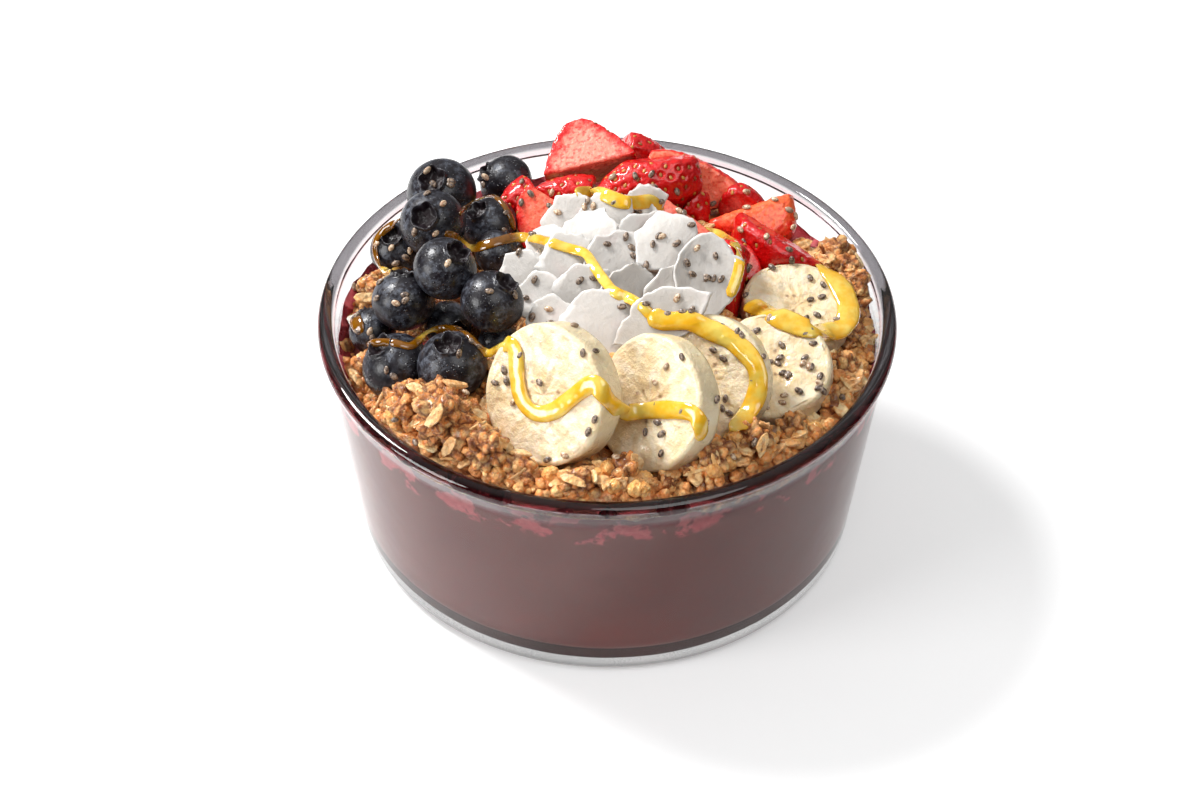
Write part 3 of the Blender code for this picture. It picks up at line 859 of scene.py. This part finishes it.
def cut_face(step, angle, number, shift):
    """The cut end of a slice, at a share of the way out: its height and its marks."""
    way = Vector((math.cos(angle), math.sin(angle), 0))
    here = way * step
    lobes = math.cos(3 * angle + number)
    heart = max(0.0, 1 - (step / (0.40 + 0.10 * lobes)) ** 4)
    seam = math.exp(-((1 - abs(lobes)) * step / 0.05) ** 2) * heart
    radial = noise(way * 6 + Vector((0, 0, step * 2.5)) + shift)
    z = -(heart * 0.25 * MM + seam * 0.15 * MM)
    z += 0.30 * MM * noise(here * 4.5 + shift)
    z += 0.15 * MM * noise(here * 12 + shift)
    z += 0.12 * MM * radial * step
    seeds = [(math.radians(120 * k + 57.3 * -number / 3 + d), r)
             for k in range(3) for d, r in ((-14, 0.20), (12, 0.26))]
    near_seed = min((here - Vector((math.cos(a), math.sin(a), 0)) * r).length
                    for a, r in seeds)
    return z, {"streak": 0.5 + radial * 0.8, "heart": heart * (0.7 + 0.3 * noise(here * 8)),
               "seed": max(0.0, 1 - (near_seed / 0.045) ** 2)}


for number, name in solids_of("banana"):
    solid = flat_faced(name)
    ends = sorted(solid.faces, key=lambda face: face.calc_area())[-2:]
    front, back = sorted((face.calc_center_median() for face in ends),
                         key=lambda middle: middle.dot(ahead))
    solid.free()
    thick = (front - back).length
    turn = frame_along((front - back).normalized())
    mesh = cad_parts[name].data
    radius = max(((v.co - front).cross((front - back).normalized())).length
                 for v in mesh.vertices)
    shift = Vector((number * 5.1, number * 2.7, number * 1.1))
    shape = bmesh.new()
    layers = marks_on(shape, "heart", "side", "streak", "seed")
    stations = [("face", i / 34) for i in range(0, 32)]
    stations += [("edge", i / 6) for i in range(0, 7)]
    stations += [("side", i / 10) for i in range(1, 10)]
    stations += [("rear", i / 8) for i in range(0, 9)]
    rows = []
    for kind, step in stations:
        row = []
        for i in range(SLICE_TURNS):
            angle = math.tau * i / SLICE_TURNS
            way = Vector((math.cos(angle), math.sin(angle), 0))
            outline = radius * (0.985 + 0.012 * math.cos(3 * angle)
                                + 0.018 * noise(way * 2.5 + shift))
            ridge = 0.18 * MM * noise(way * 7 + shift)
            marks = dict.fromkeys(layers, 0.0)
            if kind == "face":
                across = step * outline
                z, face_marks = cut_face(step, angle, number, shift)
                marks.update(face_marks)
            elif kind == "edge":
                turn_down = math.radians(90 * step)
                rounding = (1.0 + 0.5 * noise(way * 3 + shift)) * MM
                across = outline - rounding + rounding * math.sin(turn_down) + ridge * step
                z = -rounding + rounding * math.cos(turn_down)
                z += 0.30 * MM * noise(way * 4.5 + shift) * (1 - step)
                marks["side"] = step
                marks["streak"] = 0.5
            elif kind == "side":
                across = outline + ridge
                z = -1.6 * MM - (thick - 2.1 * MM) * step
                marks["side"] = 1.0
                marks["streak"] = 0.5 + 0.5 * noise(way * 9 + shift)
            else:
                across = (outline - 0.3 * MM) * (1 - step)
                z = -thick + 0.1 * MM
            point = shape.verts.new(
                turn @ Vector((across * way.x, across * way.y, z)) + front)
            for key, value in marks.items():
                point[layers[key]] = value
            row.append(point)
        rows.append(row)
    join_rows(shape, rows)
    bmesh.ops.remove_doubles(shape, verts=shape.verts, dist=0.004 * MM)
    add_piece(f"slice_{number}", shape, banana_look, "banana", name)

# The strawberries: ripe and cut up. The skin is glossy with seeds in pits, and the cut
# faces are wet, red near the skin and paler within. Each keeps the cuts of its solid.
PALENESS = (0.3, 0.2, 0.65, 0.95, 0.1, 0.2, 0.55, 0.3, 0.3, 0.3, 0.55, 0.5, 0.9, 0.45)
ORANGE = (0.1, 0.0, 0.5, 0.1, 0.2, 0.1, 0.9, 0.3, 0.0, 0.1, 0.3, 0.5, 0.2, 0.3)
WHOLE_SKIN = (9, 10)  # pieces with skin all over the side that shows
CUT_FRONT = (3,)  # and pieces with skin on top only
PLUMP = {7: (110, 1.3), 10: (45, 1.0)}  # how often smoothed, and swollen by how much
VOXEL = 0.36 * MM
SEED_GAP = 2.3 * MM
SEED_HALVES = (0.37, 0.56, 0.20)  # half of a seed's width, length and thickness
SHARP = math.radians(33)
SHARP_SHARE = 0.6  # a cut has at least this much of its outline sharp,
CUT_CORNERS = 5  # and this many corners
CUT_AREA = 12e-6  # or this many square metres

strawberry_look, places = finish("strawberry_flesh")
depth = places.painted("depth")
pale = places.painted("pale")
orange = places.painted("orange")
skin_mask = places.painted("skin")
fibre = places.clouds(2.0, 4.0, 0.6)
rosy = orange.blend(tint(252, 152, 134), tint(255, 124, 60))
red = orange.blend(tint(200, 10, 22), tint(246, 38, 12))
amount = (depth + (fibre - 0.5) * 1.7).between(0.05, 0.8) * (0.25 + pale * 0.75)
inside = amount.blend(red, rosy)
fleck = places.clouds(0.9, 3.0).between(0.52, 0.62) * (1 - depth * 0.3)
inside = (fleck * 0.7).blend(inside, red)
outside = places.clouds(5).blend(tint(172, 0, 6), tint(212, 2, 10))
body = skin_mask.between(0.35, 0.65).blend(inside, outside)
coat(places, base_color=body, roughness=0.3 + fibre * 0.2, coat_weight=0.6,
     coat_roughness=0.04, specular_ior_level=0.3, subsurface_weight=0.12,
     subsurface_radius=(1.0, 0.2, 0.1), subsurface_scale=1.2 * MM,
     normal=places.clouds(1.1, 4.0).relief(0.4))

seed_look, places = finish("strawberry_seed")
coat(places, base_color=places.painted("tone").blend(tint(196, 138, 58), tint(128, 66, 26)),
     roughness=0.35 + places.clouds(0.4) * 0.2, coat_weight=0.4, coat_roughness=0.1,
     normal=places.clouds(0.3).relief(0.05))


def remeshed(source, voxel):
    """A closed shape covered again in small even faces."""
    mesh = bpy.data.meshes.new("rough")
    source.to_mesh(mesh)
    rough = bpy.data.objects.new("rough", mesh)
    scene.collection.objects.link(rough)
    cover = rough.modifiers.new("cover", "REMESH")
    cover.mode = "VOXEL"
    cover.voxel_size = voxel
    whole = rough.evaluated_get(bpy.context.evaluated_depsgraph_get()).to_mesh()
    made = bmesh.new()
    made.from_mesh(whole)
    bpy.data.objects.remove(rough)
    bpy.data.meshes.remove(mesh)
    return made


def soften(shape, points):
    """Moves points towards the middle of those round them."""
    bmesh.ops.smooth_vert(shape, verts=points, factor=0.5,
                          use_axis_x=True, use_axis_y=True, use_axis_z=True)


def finder(places):
    """A search for the nearest of some places."""
    tree = KDTree(max(1, len(places)))
    for i, place in enumerate(places):
        tree.insert(place, i)
    tree.balance()
    return tree


def sharp_share(face):
    """How much of a face's outline is a sharp edge."""
    whole = sum(edge.calc_length() for edge in face.edges)
    sharp = sum(edge.calc_length() for edge in face.edges
                if edge.calc_face_angle(0.0) > SHARP)
    return sharp / whole


fruit_seeds = []
seed_shape = ball(2)
seed_shape = (seed_shape[0] * np.array(SEED_HALVES) * MM, seed_shape[1])
for number, name in solids_of("strawberry"):
    solid = flat_faced(name)
    is_cut = [sharp_share(face) >= SHARP_SHARE
              and (len(face.verts) >= CUT_CORNERS or face.calc_area() > CUT_AREA)
              for face in solid.faces]
    corners = [v.co.copy() for v in solid.verts]
    outlines = [[v.index for v in face.verts] for face in solid.faces]
    both = BVHTree.FromPolygons(corners, outlines)
    skins = [face for face, cut in zip(outlines, is_cut) if not cut]
    skin_tree = BVHTree.FromPolygons(corners, skins) if skins else None
    bmesh.ops.triangulate(solid, faces=solid.faces)
    shape = remeshed(solid, VOXEL)
    solid.free()
    rounds, swollen = PLUMP.get(number, (3, 0.0))
    for _ in range(rounds):
        soften(shape, shape.verts)
    shape.normal_update()
    for point in shape.verts:
        point.co += point.normal * swollen * MM
    layers = marks_on(shape, "depth", "pale", "orange", "skin")
    shift = Vector((number * 3.3, number * 7.1, number * 1.7))
    chance = random.Random(number)
    skin_points = []
    for point in shape.verts:
        index = both.find_nearest(point.co)[2]
        away = skin_tree.find_nearest(point.co)[3] if skin_tree else 9 * MM
        is_skin = 0.0 if is_cut[index] and number not in WHOLE_SKIN else 1.0
        if number in CUT_FRONT:
            facing = -point.normal.dot(ahead)
            is_skin = 0.0 if facing > 0.35 else 1.0
            away = max(0.0, facing - 0.35) * 9 * MM
        point[layers["skin"]] = is_skin
        point[layers["depth"]] = min(1.0, away / (4.5 * MM))
        point[layers["pale"]] = PALENESS[number - 1]
        point[layers["orange"]] = ORANGE[number - 1]
        if is_skin:
            skin_points.append(point)
    chance.shuffle(skin_points)
    kept = []
    gap = SEED_GAP * (1.5 if number in PLUMP else 1.0)
    for point in skin_points:
        if all((point.co - other.co).length > gap for other in kept):
            kept.append(point)
    spots = finder([point.co for point in kept])
    sown = [(point.co.copy(), point.normal.copy()) for point in kept]
    for point in shape.verts:
        rough = 0.16 * noise(point.co / (2.4 * MM) + shift)
        if point[layers["skin"]] > 0.5 and kept:
            away = spots.find(point.co)[2] / MM
            rough = rough * 0.5 - 0.42 * math.exp(-(away / 0.62) ** 2)
            rough += 0.10 * math.exp(-((away - 1.1) / 0.35) ** 2)
        else:
            rough += 0.12 * noise(point.co / (0.9 * MM) + shift)
        point.co += point.normal * rough * MM
    for at, normal in sown:
        turn = normal.to_track_quat("Z", "Y") @ spin(chance.uniform(-0.5, 0.5))
        fruit_seeds.append((seed_shape, at - normal * 0.22 * MM, turn, chance.random()))
    add_piece(f"cut_strawberry_{number:02d}", shape, strawberry_look, "strawberry", name)
strewn("strawberry_seeds", seed_look, fruit_seeds)

# The coconut: broad shavings of white flesh, thin and brittle, with torn edges and a
# slight curl. They lie over one another in the middle of the heap.
coconut_look, places = finish("coconut_white")
thin = places.painted("edge")
white_flesh = places.clouds(5).blend(tint(182, 177, 171), tint(202, 197, 191))
white_flesh = (places.clouds(9, 2.0).between(0.55, 0.75) * 0.35).blend(
    white_flesh, tint(208, 184, 180))
# painted light: the torn edges are painted lighter, standing in for light showing through the
# thin edges
white_flesh = (thin * 0.35).blend(white_flesh, tint(232, 232, 230))
grain = places.stretched(1.0, 0.4, 1.0).clouds(0.8, 4.0, 0.65)
coat(places, base_color=white_flesh, roughness=0.55 - grain * 0.12, subsurface_weight=0.35,
     subsurface_radius=(1.0, 0.9, 0.8), subsurface_scale=1.2 * MM,
     normal=(grain + places.clouds(2.5) * 0.6).relief(0.16))

TORN = 0.7 * MM  # how deep the bites in an edge go


def torn(flat, shift):
    """How far out a torn edge runs at a place: bites of several sizes, and clean stretches."""
    bites = noise(flat / (3.2 * MM) + shift) * 1.3
    clean = max(0.15, min(1.0, 0.6 + 1.6 * noise(flat / (7 * MM) + shift)))
    bites += noise(flat / (1.2 * MM) + shift) * 0.9 * clean
    return bites + noise(flat / (0.5 * MM) + shift) * 0.4 * clean


for number, name in solids_of("coconut"):
    solid = solid_of(name)
    bmesh.ops.subdivide_edges(solid, edges=solid.edges, cuts=6, use_grid_fill=True)
    edge_mark = solid.verts.layers.float.new("edge")
    border = [v.co.copy() for v in solid.verts
              if any(edge.calc_face_angle(0.0) > math.radians(60) for edge in v.link_edges)]
    near_border = finder(border)
    solid.normal_update()
    facing_way = Vector((0, 0, 0))
    for face in solid.faces:
        if face.normal.dot(ahead) < 0:
            facing_way += face.normal * face.calc_area()
    facing_way.normalize()
    middle = sum((v.co for v in solid.verts), Vector()) / len(solid.verts)
    shift = Vector((number * 2.9, number * 6.1, number * 4.3))
    soften(solid, [v for v in solid.verts if near_border.find(v.co)[2] > 0.4 * MM])
    for point in solid.verts:
        away = near_border.find(point.co)[2]
        at_edge = math.exp(-(away / (1.1 * MM)) ** 2)
        flat = point.co - middle
        drop = flat.dot(facing_way)
        flat -= facing_way * drop
        out = flat.normalized() if flat.length > 0 else Vector()
        move = flat * 0.10 + out * torn(flat, shift) * at_edge * TORN
        move += facing_way * noise(flat / (9 * MM) + shift) * 0.9 * MM
        move += facing_way * noise(flat / (1.5 * MM) + shift) * 0.05 * MM
        # the edge mark that the painted light on the edges follows
        point[edge_mark] = math.exp(-(away / (0.6 * MM)) ** 2)
        point.co += move
    add_piece(f"coconut_flake_{number:02d}", solid, coconut_look, "coconut", name)


def shaving(radius, seed):
    """A loose shaving of coconut, thin and wavy, with its edge torn all round."""
    shift = Vector((seed * 3.1, seed * 1.7, seed * 5.3))
    around, rings = 56, 9
    curl = 0.5 + 0.5 * noise(shift)
    sheets = []
    points = []
    for thickness in (0.0, -0.6 * MM):
        sheet = []
        for ring in range(1, rings + 1):
            for i in range(around):
                angle = math.tau * i / around
                way = Vector((math.cos(angle), math.sin(angle), 0))
                outline = radius * (0.9 + 0.5 * noise(way * 0.9 + shift))
                outline += torn(way * radius, shift) * TORN * 0.6
                flat = way * outline * ring / rings
                z = thickness - curl * flat.y ** 2 / (3 * radius)
                z += noise(flat / (7 * MM) + shift) * 0.9 * MM
                sheet.append(len(points))
                points.append((flat.x, flat.y, z))
        sheet.append(len(points))
        points.append((0, 0, thickness + noise(shift) * 0.9 * MM))
        sheets.append(sheet)
    faces = []
    for flip, sheet in enumerate(sheets):
        for i in range(around):
            after = (i + 1) % around
            fan = [(sheet[-1], sheet[i], sheet[after])]
            for ring in range(rings - 1):
                low, high = ring * around, (ring + 1) * around
                fan.append((sheet[low + i], sheet[high + i], sheet[high + after]))
                fan.append((sheet[low + i], sheet[high + after], sheet[low + after]))
            faces += [face[::-1] if flip else face for face in fan]
    last = (rings - 1) * around
    upper, lower = sheets
    for i in range(around):
        after = (i + 1) % around
        faces.append((upper[last + i], lower[last + i], lower[last + after]))
        faces.append((upper[last + i], lower[last + after], upper[last + after]))
    return np.array(points), np.array(faces)


# More shavings lie under the big ones, in the middle of the heap: the place and the radius.
UNDER = (
    (-12, 6, 5.5), (-5, 8, 6.0), (2, 9, 6.0), (9, 10, 5.5), (15, 9, 5.0), (-14, -3, 5.0),
    (-7, -6, 5.5), (0, -8, 6.0), (6, -10, 5.5), (12, -10, 5.5), (17, -5, 5.0), (-3, 1, 6.0),
    (4, 2, 6.0), (11, 1, 6.0), (-8, 14, 5.0), (0, 16, 5.5), (7, 18, 5.0), (-2, -15, 4.5),
    (5, -17, 4.5), (-11, 20, 4.0), (3, 22, 4.0), (-16, 10, 4.5), (10, -16, 4.5),
)
laid = []
for number, (x, y, radius) in enumerate(UNDER, 1):
    at = Vector((x, y, 0)) * MM
    z = core_top(at.x, at.y) + 2.0 * MM
    way = Vector((draw.gauss(0, 0.22), draw.gauss(-0.45, 0.22), 1.0))
    turn = way.to_track_quat("Z", "Y") @ spin(draw.uniform(0, math.tau))
    laid.append((shaving(radius * MM, number), Vector((at.x, at.y, z)), turn, 0.0))
strewn("coconut_shavings", coconut_look, laid)

# The honey: runny and clear, drizzled over everything from a spoon in thin strands. Each
# strand lies on what is under it and hangs a little where it crosses a gap.
shown = [o for o in scene.objects if o.type == "MESH" and o.name.startswith(
    ("berry", "slice", "cut_strawberry", "coconut", "granola", "oat_", "acai_fill"))]
points = []
faces = []
owners = []
for piece in shown:
    first = len(points)
    points += [v.co for v in piece.data.vertices]
    for face in piece.data.polygons:
        faces.append([first + i for i in face.vertices])
        owners.append(piece.name)
surface = BVHTree.FromPolygons(points, faces)


def seen_at(across, up):
    """What lies where one looks from the front at a place across and up the heap."""
    start = (level * across + upwards * up) * MM - ahead * 0.3
    return surface.ray_cast(start, ahead)


STRAND_SIDES = 16

# Each strand: its width, and its way across and up the heap, all in millimetres.
STRANDS = (
    (1.9, ((-45, 60), (-48, 58.5), (-50.5, 56), (-50.5, 52.5), (-48.5, 49), (-45.5, 48),
           (-43, 49.5))),
    (1.7, ((-32, 61), (-30.5, 64), (-27.5, 66), (-24.5, 65.5), (-22, 62.5), (-20.5, 58.5))),
    (2.4, ((-35, 57), (-32, 55.5), (-30, 54), (-26.5, 54.5), (-23, 55.5), (-19, 56.5),
           (-14.5, 55.5), (-10.5, 54), (-7, 53), (-4.5, 52), (-3, 49.5), (-1, 46.5),
           (1.5, 43.5), (4, 42.5), (6.5, 41), (9.5, 38))),
    (4.2, ((8.5, 39), (11, 37.5), (14, 37.5), (17, 37.5), (20, 36), (23.5, 34.5), (26.5, 32.5),
           (29, 30), (30.5, 27), (30.5, 23.5), (29.5, 20.5), (27.5, 17.5), (25.5, 15))),
    (3.2, ((-7, 66), (-3.5, 66.5), (-0.5, 65.5), (3, 64), (6.5, 64), (9.5, 64.5), (12, 62))),
    (2.4, ((21.5, 59), (24.5, 57.5), (27, 54.5), (27.8, 51.5), (27.2, 47.5), (25.5, 43))),
    (5.2, ((46, 50.5), (49, 47.5), (51, 43.5), (51.5, 40), (50, 37), (46.5, 35.8),
           (42.5, 36), (38.5, 37.5), (34, 39.5), (30, 42))),
    (1.9, ((-50.5, 32.5), (-46.5, 33), (-43, 32.5), (-40.5, 32), (-38.5, 34.5), (-35.5, 36),
           (-32.5, 36), (-29, 34.5), (-26.5, 32), (-24.5, 30.5), (-22.5, 31.5), (-20.5, 32.5))),
    (3.7, ((-22, 32), (-19.5, 32.5), (-18.5, 30.5), (-18.3, 27.5), (-18, 24.5), (-17.3, 21.5),
           (-15.5, 19), (-13, 18.3), (-10, 19.3), (-7.5, 21.3), (-4.7, 23.5), (-2.5, 24.5),
           (-0.8, 22.5), (1, 20.3), (3.2, 18.8), (6.5, 19), (10, 19.3), (13.5, 19.3),
           (16.8, 18.8), (18.3, 17), (18.8, 13.5))),
    (3.0, ((-55.5, 39.5), (-53.5, 38), (-52, 35))),
)



def curve_through(knots):
    """Points along a smooth curve through a strand's knots."""
    path = []
    for i in range(len(knots) - 1):
        before, start, end, after = (knots[min(max(i + k, 0), len(knots) - 1)]
                                     for k in (-1, 0, 1, 2))
        steps = max(2, round((end - start).length / 0.45))
        for step in range(steps):
            t = step / steps
            path.append(0.5 * ((2 * start) + (end - before) * t
                               + (2 * before - 5 * start + 4 * end - after) * t * t
                               + (3 * start - before - 3 * end + after) * t * t * t))
    return path + [knots[-1]]


def with_neighbours(values):
    """Each value with the one before it and the one after it, repeated at the ends."""
    return list(zip(values[:1] + values[:-1], values, values[1:] + values[-1:]))


honey_look, places = finish("honey_clear")
# painted shade: the honey is painted dark brown over blueberries, and partly over strawberries,
# standing in for the fruit seen through it
over_dark = places.painted("over_dark")
bright = places.clouds(4).between(0.35, 0.65).blend(tint(255, 196, 44), tint(255, 228, 108))
# painted shade: the strand's edges are painted a deeper amber, standing in for the darker
# refraction at its edges
bright = (places.painted("border") * 0.45).blend(bright, tint(246, 176, 30))
brown = places.clouds(4).blend(tint(64, 34, 4), tint(176, 112, 16))
coat(places, base_color=over_dark.blend(bright, brown), transmission_weight=0.34, ior=1.42,
     roughness=0.04 + places.clouds(3) * 0.05, coat_weight=1.0, coat_roughness=0.02,
     normal=places.clouds(2.4, 1.0).relief(0.25))

shape = bmesh.new()
darkness = shape.verts.layers.float.new("over_dark")
border = shape.verts.layers.float.new("border")
for number, (width, way) in enumerate(STRANDS, 1):
    path = curve_through([Vector((*place, 0)) for place in way])
    hits = [seen_at(place.x, place.y) for place in path]
    deep = [hit[0].dot(ahead) if hit[0] else None for hit in hits]
    # how dark the fruit under each point is, for the honey's painted see-through shade
    under = [1.0 if hit[0] and owners[hit[2]].startswith("berry") else
             0.35 if hit[0] and owners[hit[2]].startswith("cut_straw") else 0.0 for hit in hits]
    for _ in range(2):
        under = [sum(three) / 3 for three in with_neighbours(under)]
    known = [d for d in deep if d is not None]
    deep = [d if d is not None else max(known) for d in deep]
    hung = list(deep)
    for _ in range(40):
        hung = [min(d, (before + after) / 2)
                for d, (before, _, after) in zip(deep, with_neighbours(hung))]
        hung[0], hung[-1] = deep[0], deep[-1]
    hung = [0.75 * h + 0.25 * d for h, d in zip(hung, deep)]
    centres = [level * place.x * MM + upwards * place.y * MM + ahead * d
               for place, d in zip(path, hung)]
    normals = [(hit[1] if hit[1].dot(ahead) < 0 else -hit[1]) if hit[0] else -ahead
               for hit in hits]
    for _ in range(6):
        normals = [sum(three, Vector()).normalized() for three in with_neighbours(normals)]
        centres[1:-1] = [(before + here * 2 + after) / 4
                         for before, here, after in with_neighbours(centres)[1:-1]]
    rings = []
    for i, (before, centre, after) in enumerate(with_neighbours(centres)):
        along = (after - before).normalized()
        across = along.cross(normals[i]).normalized()
        lift = across.cross(along)
        end_share = min(1.0, (min(i, len(centres) - 1 - i) + 0.6) / 3.5) ** 0.5
        half = width / 2 * MM * (1 + 0.16 * noise(centre / (5 * MM))) * end_share
        tall = half * (0.34 if width > 2.2 else 0.6)
        ring = []
        for k in range(STRAND_SIDES):
            angle = math.tau * k / STRAND_SIDES
            rise = math.sin(angle) * (tall if math.sin(angle) > 0 else tall * 0.45)
            point = shape.verts.new(centre + across * math.cos(angle) * half
                                    + lift * (rise + 0.1 * MM))
            point[darkness] = under[i]
            # the edge mark for the painted shade along the strand's edges
            point[border] = abs(math.cos(angle)) ** 5
            ring.append(point)
        rings.append(ring)
    join_rows(shape, rings)
    shape.faces.new(rings[0])
    shape.faces.new(list(reversed(rings[-1])))
add_piece("honey_strands", shape, honey_look, "acai")

# The chia seeds: small hard mottled ovals, most of them grey-brown and some of them tan,
# scattered over the fruit and stuck to it.
chia_look, places = finish("chia_shell")
tone = places.painted("tone")
mottle = places.clouds(0.5, 3.0)
dark_shell = mottle.between(0.4, 0.62).blend(tint(70, 55, 46), tint(150, 129, 110))
light_shell = mottle.between(0.4, 0.6).blend(tint(212, 190, 160), tint(150, 112, 84))
coat(places, base_color=tone.between(0.70, 0.78).blend(dark_shell, light_shell),
     roughness=0.3 + places.clouds(0.6) * 0.15, coat_weight=0.35, coat_roughness=0.1,
     normal=places.clouds(0.3).relief(0.03))

# How many seeds lie on each kind of piece, on the sides of it that face up and forwards.
SPRINKLE = (("slice_1", 9), ("slice_2", 26), ("slice_3", 14), ("slice_4", 12), ("slice_5", 13),
            ("coconut", 42), ("berry", 34), ("cut_strawberry", 30), ("granola", 8),
            ("acai_fill", 5))
CHIA_HALVES = (0.62, 0.98, 0.48)  # half of a seed's width, length and thickness
MOST_TRIES = 20000
laid = []
chia_shape = ball(3)
scatter = random.Random(5)
for start, count in SPRINKLE:
    found = 0
    tries = 0
    while found < count and tries < MOST_TRIES:
        tries += 1
        across, up = scatter.uniform(-56, 56), scatter.uniform(8, 72)
        at, normal, index, _ = seen_at(across, up)
        if at is None or not owners[index].startswith(start):
            continue
        if normal.z < 0.12 or normal.dot(ahead) > -0.25:
            continue
        size = scatter.uniform(0.9, 1.1)
        points = chia_shape[0] * np.array(CHIA_HALVES) * size * MM
        turn = normal.to_track_quat("Z", "Y") @ spin(scatter.uniform(0, math.tau))
        laid.append(((points, chia_shape[1]), at + normal * 0.28 * MM, turn, scatter.random()))
        found += 1
strewn("chia_seeds", chia_look, laid)
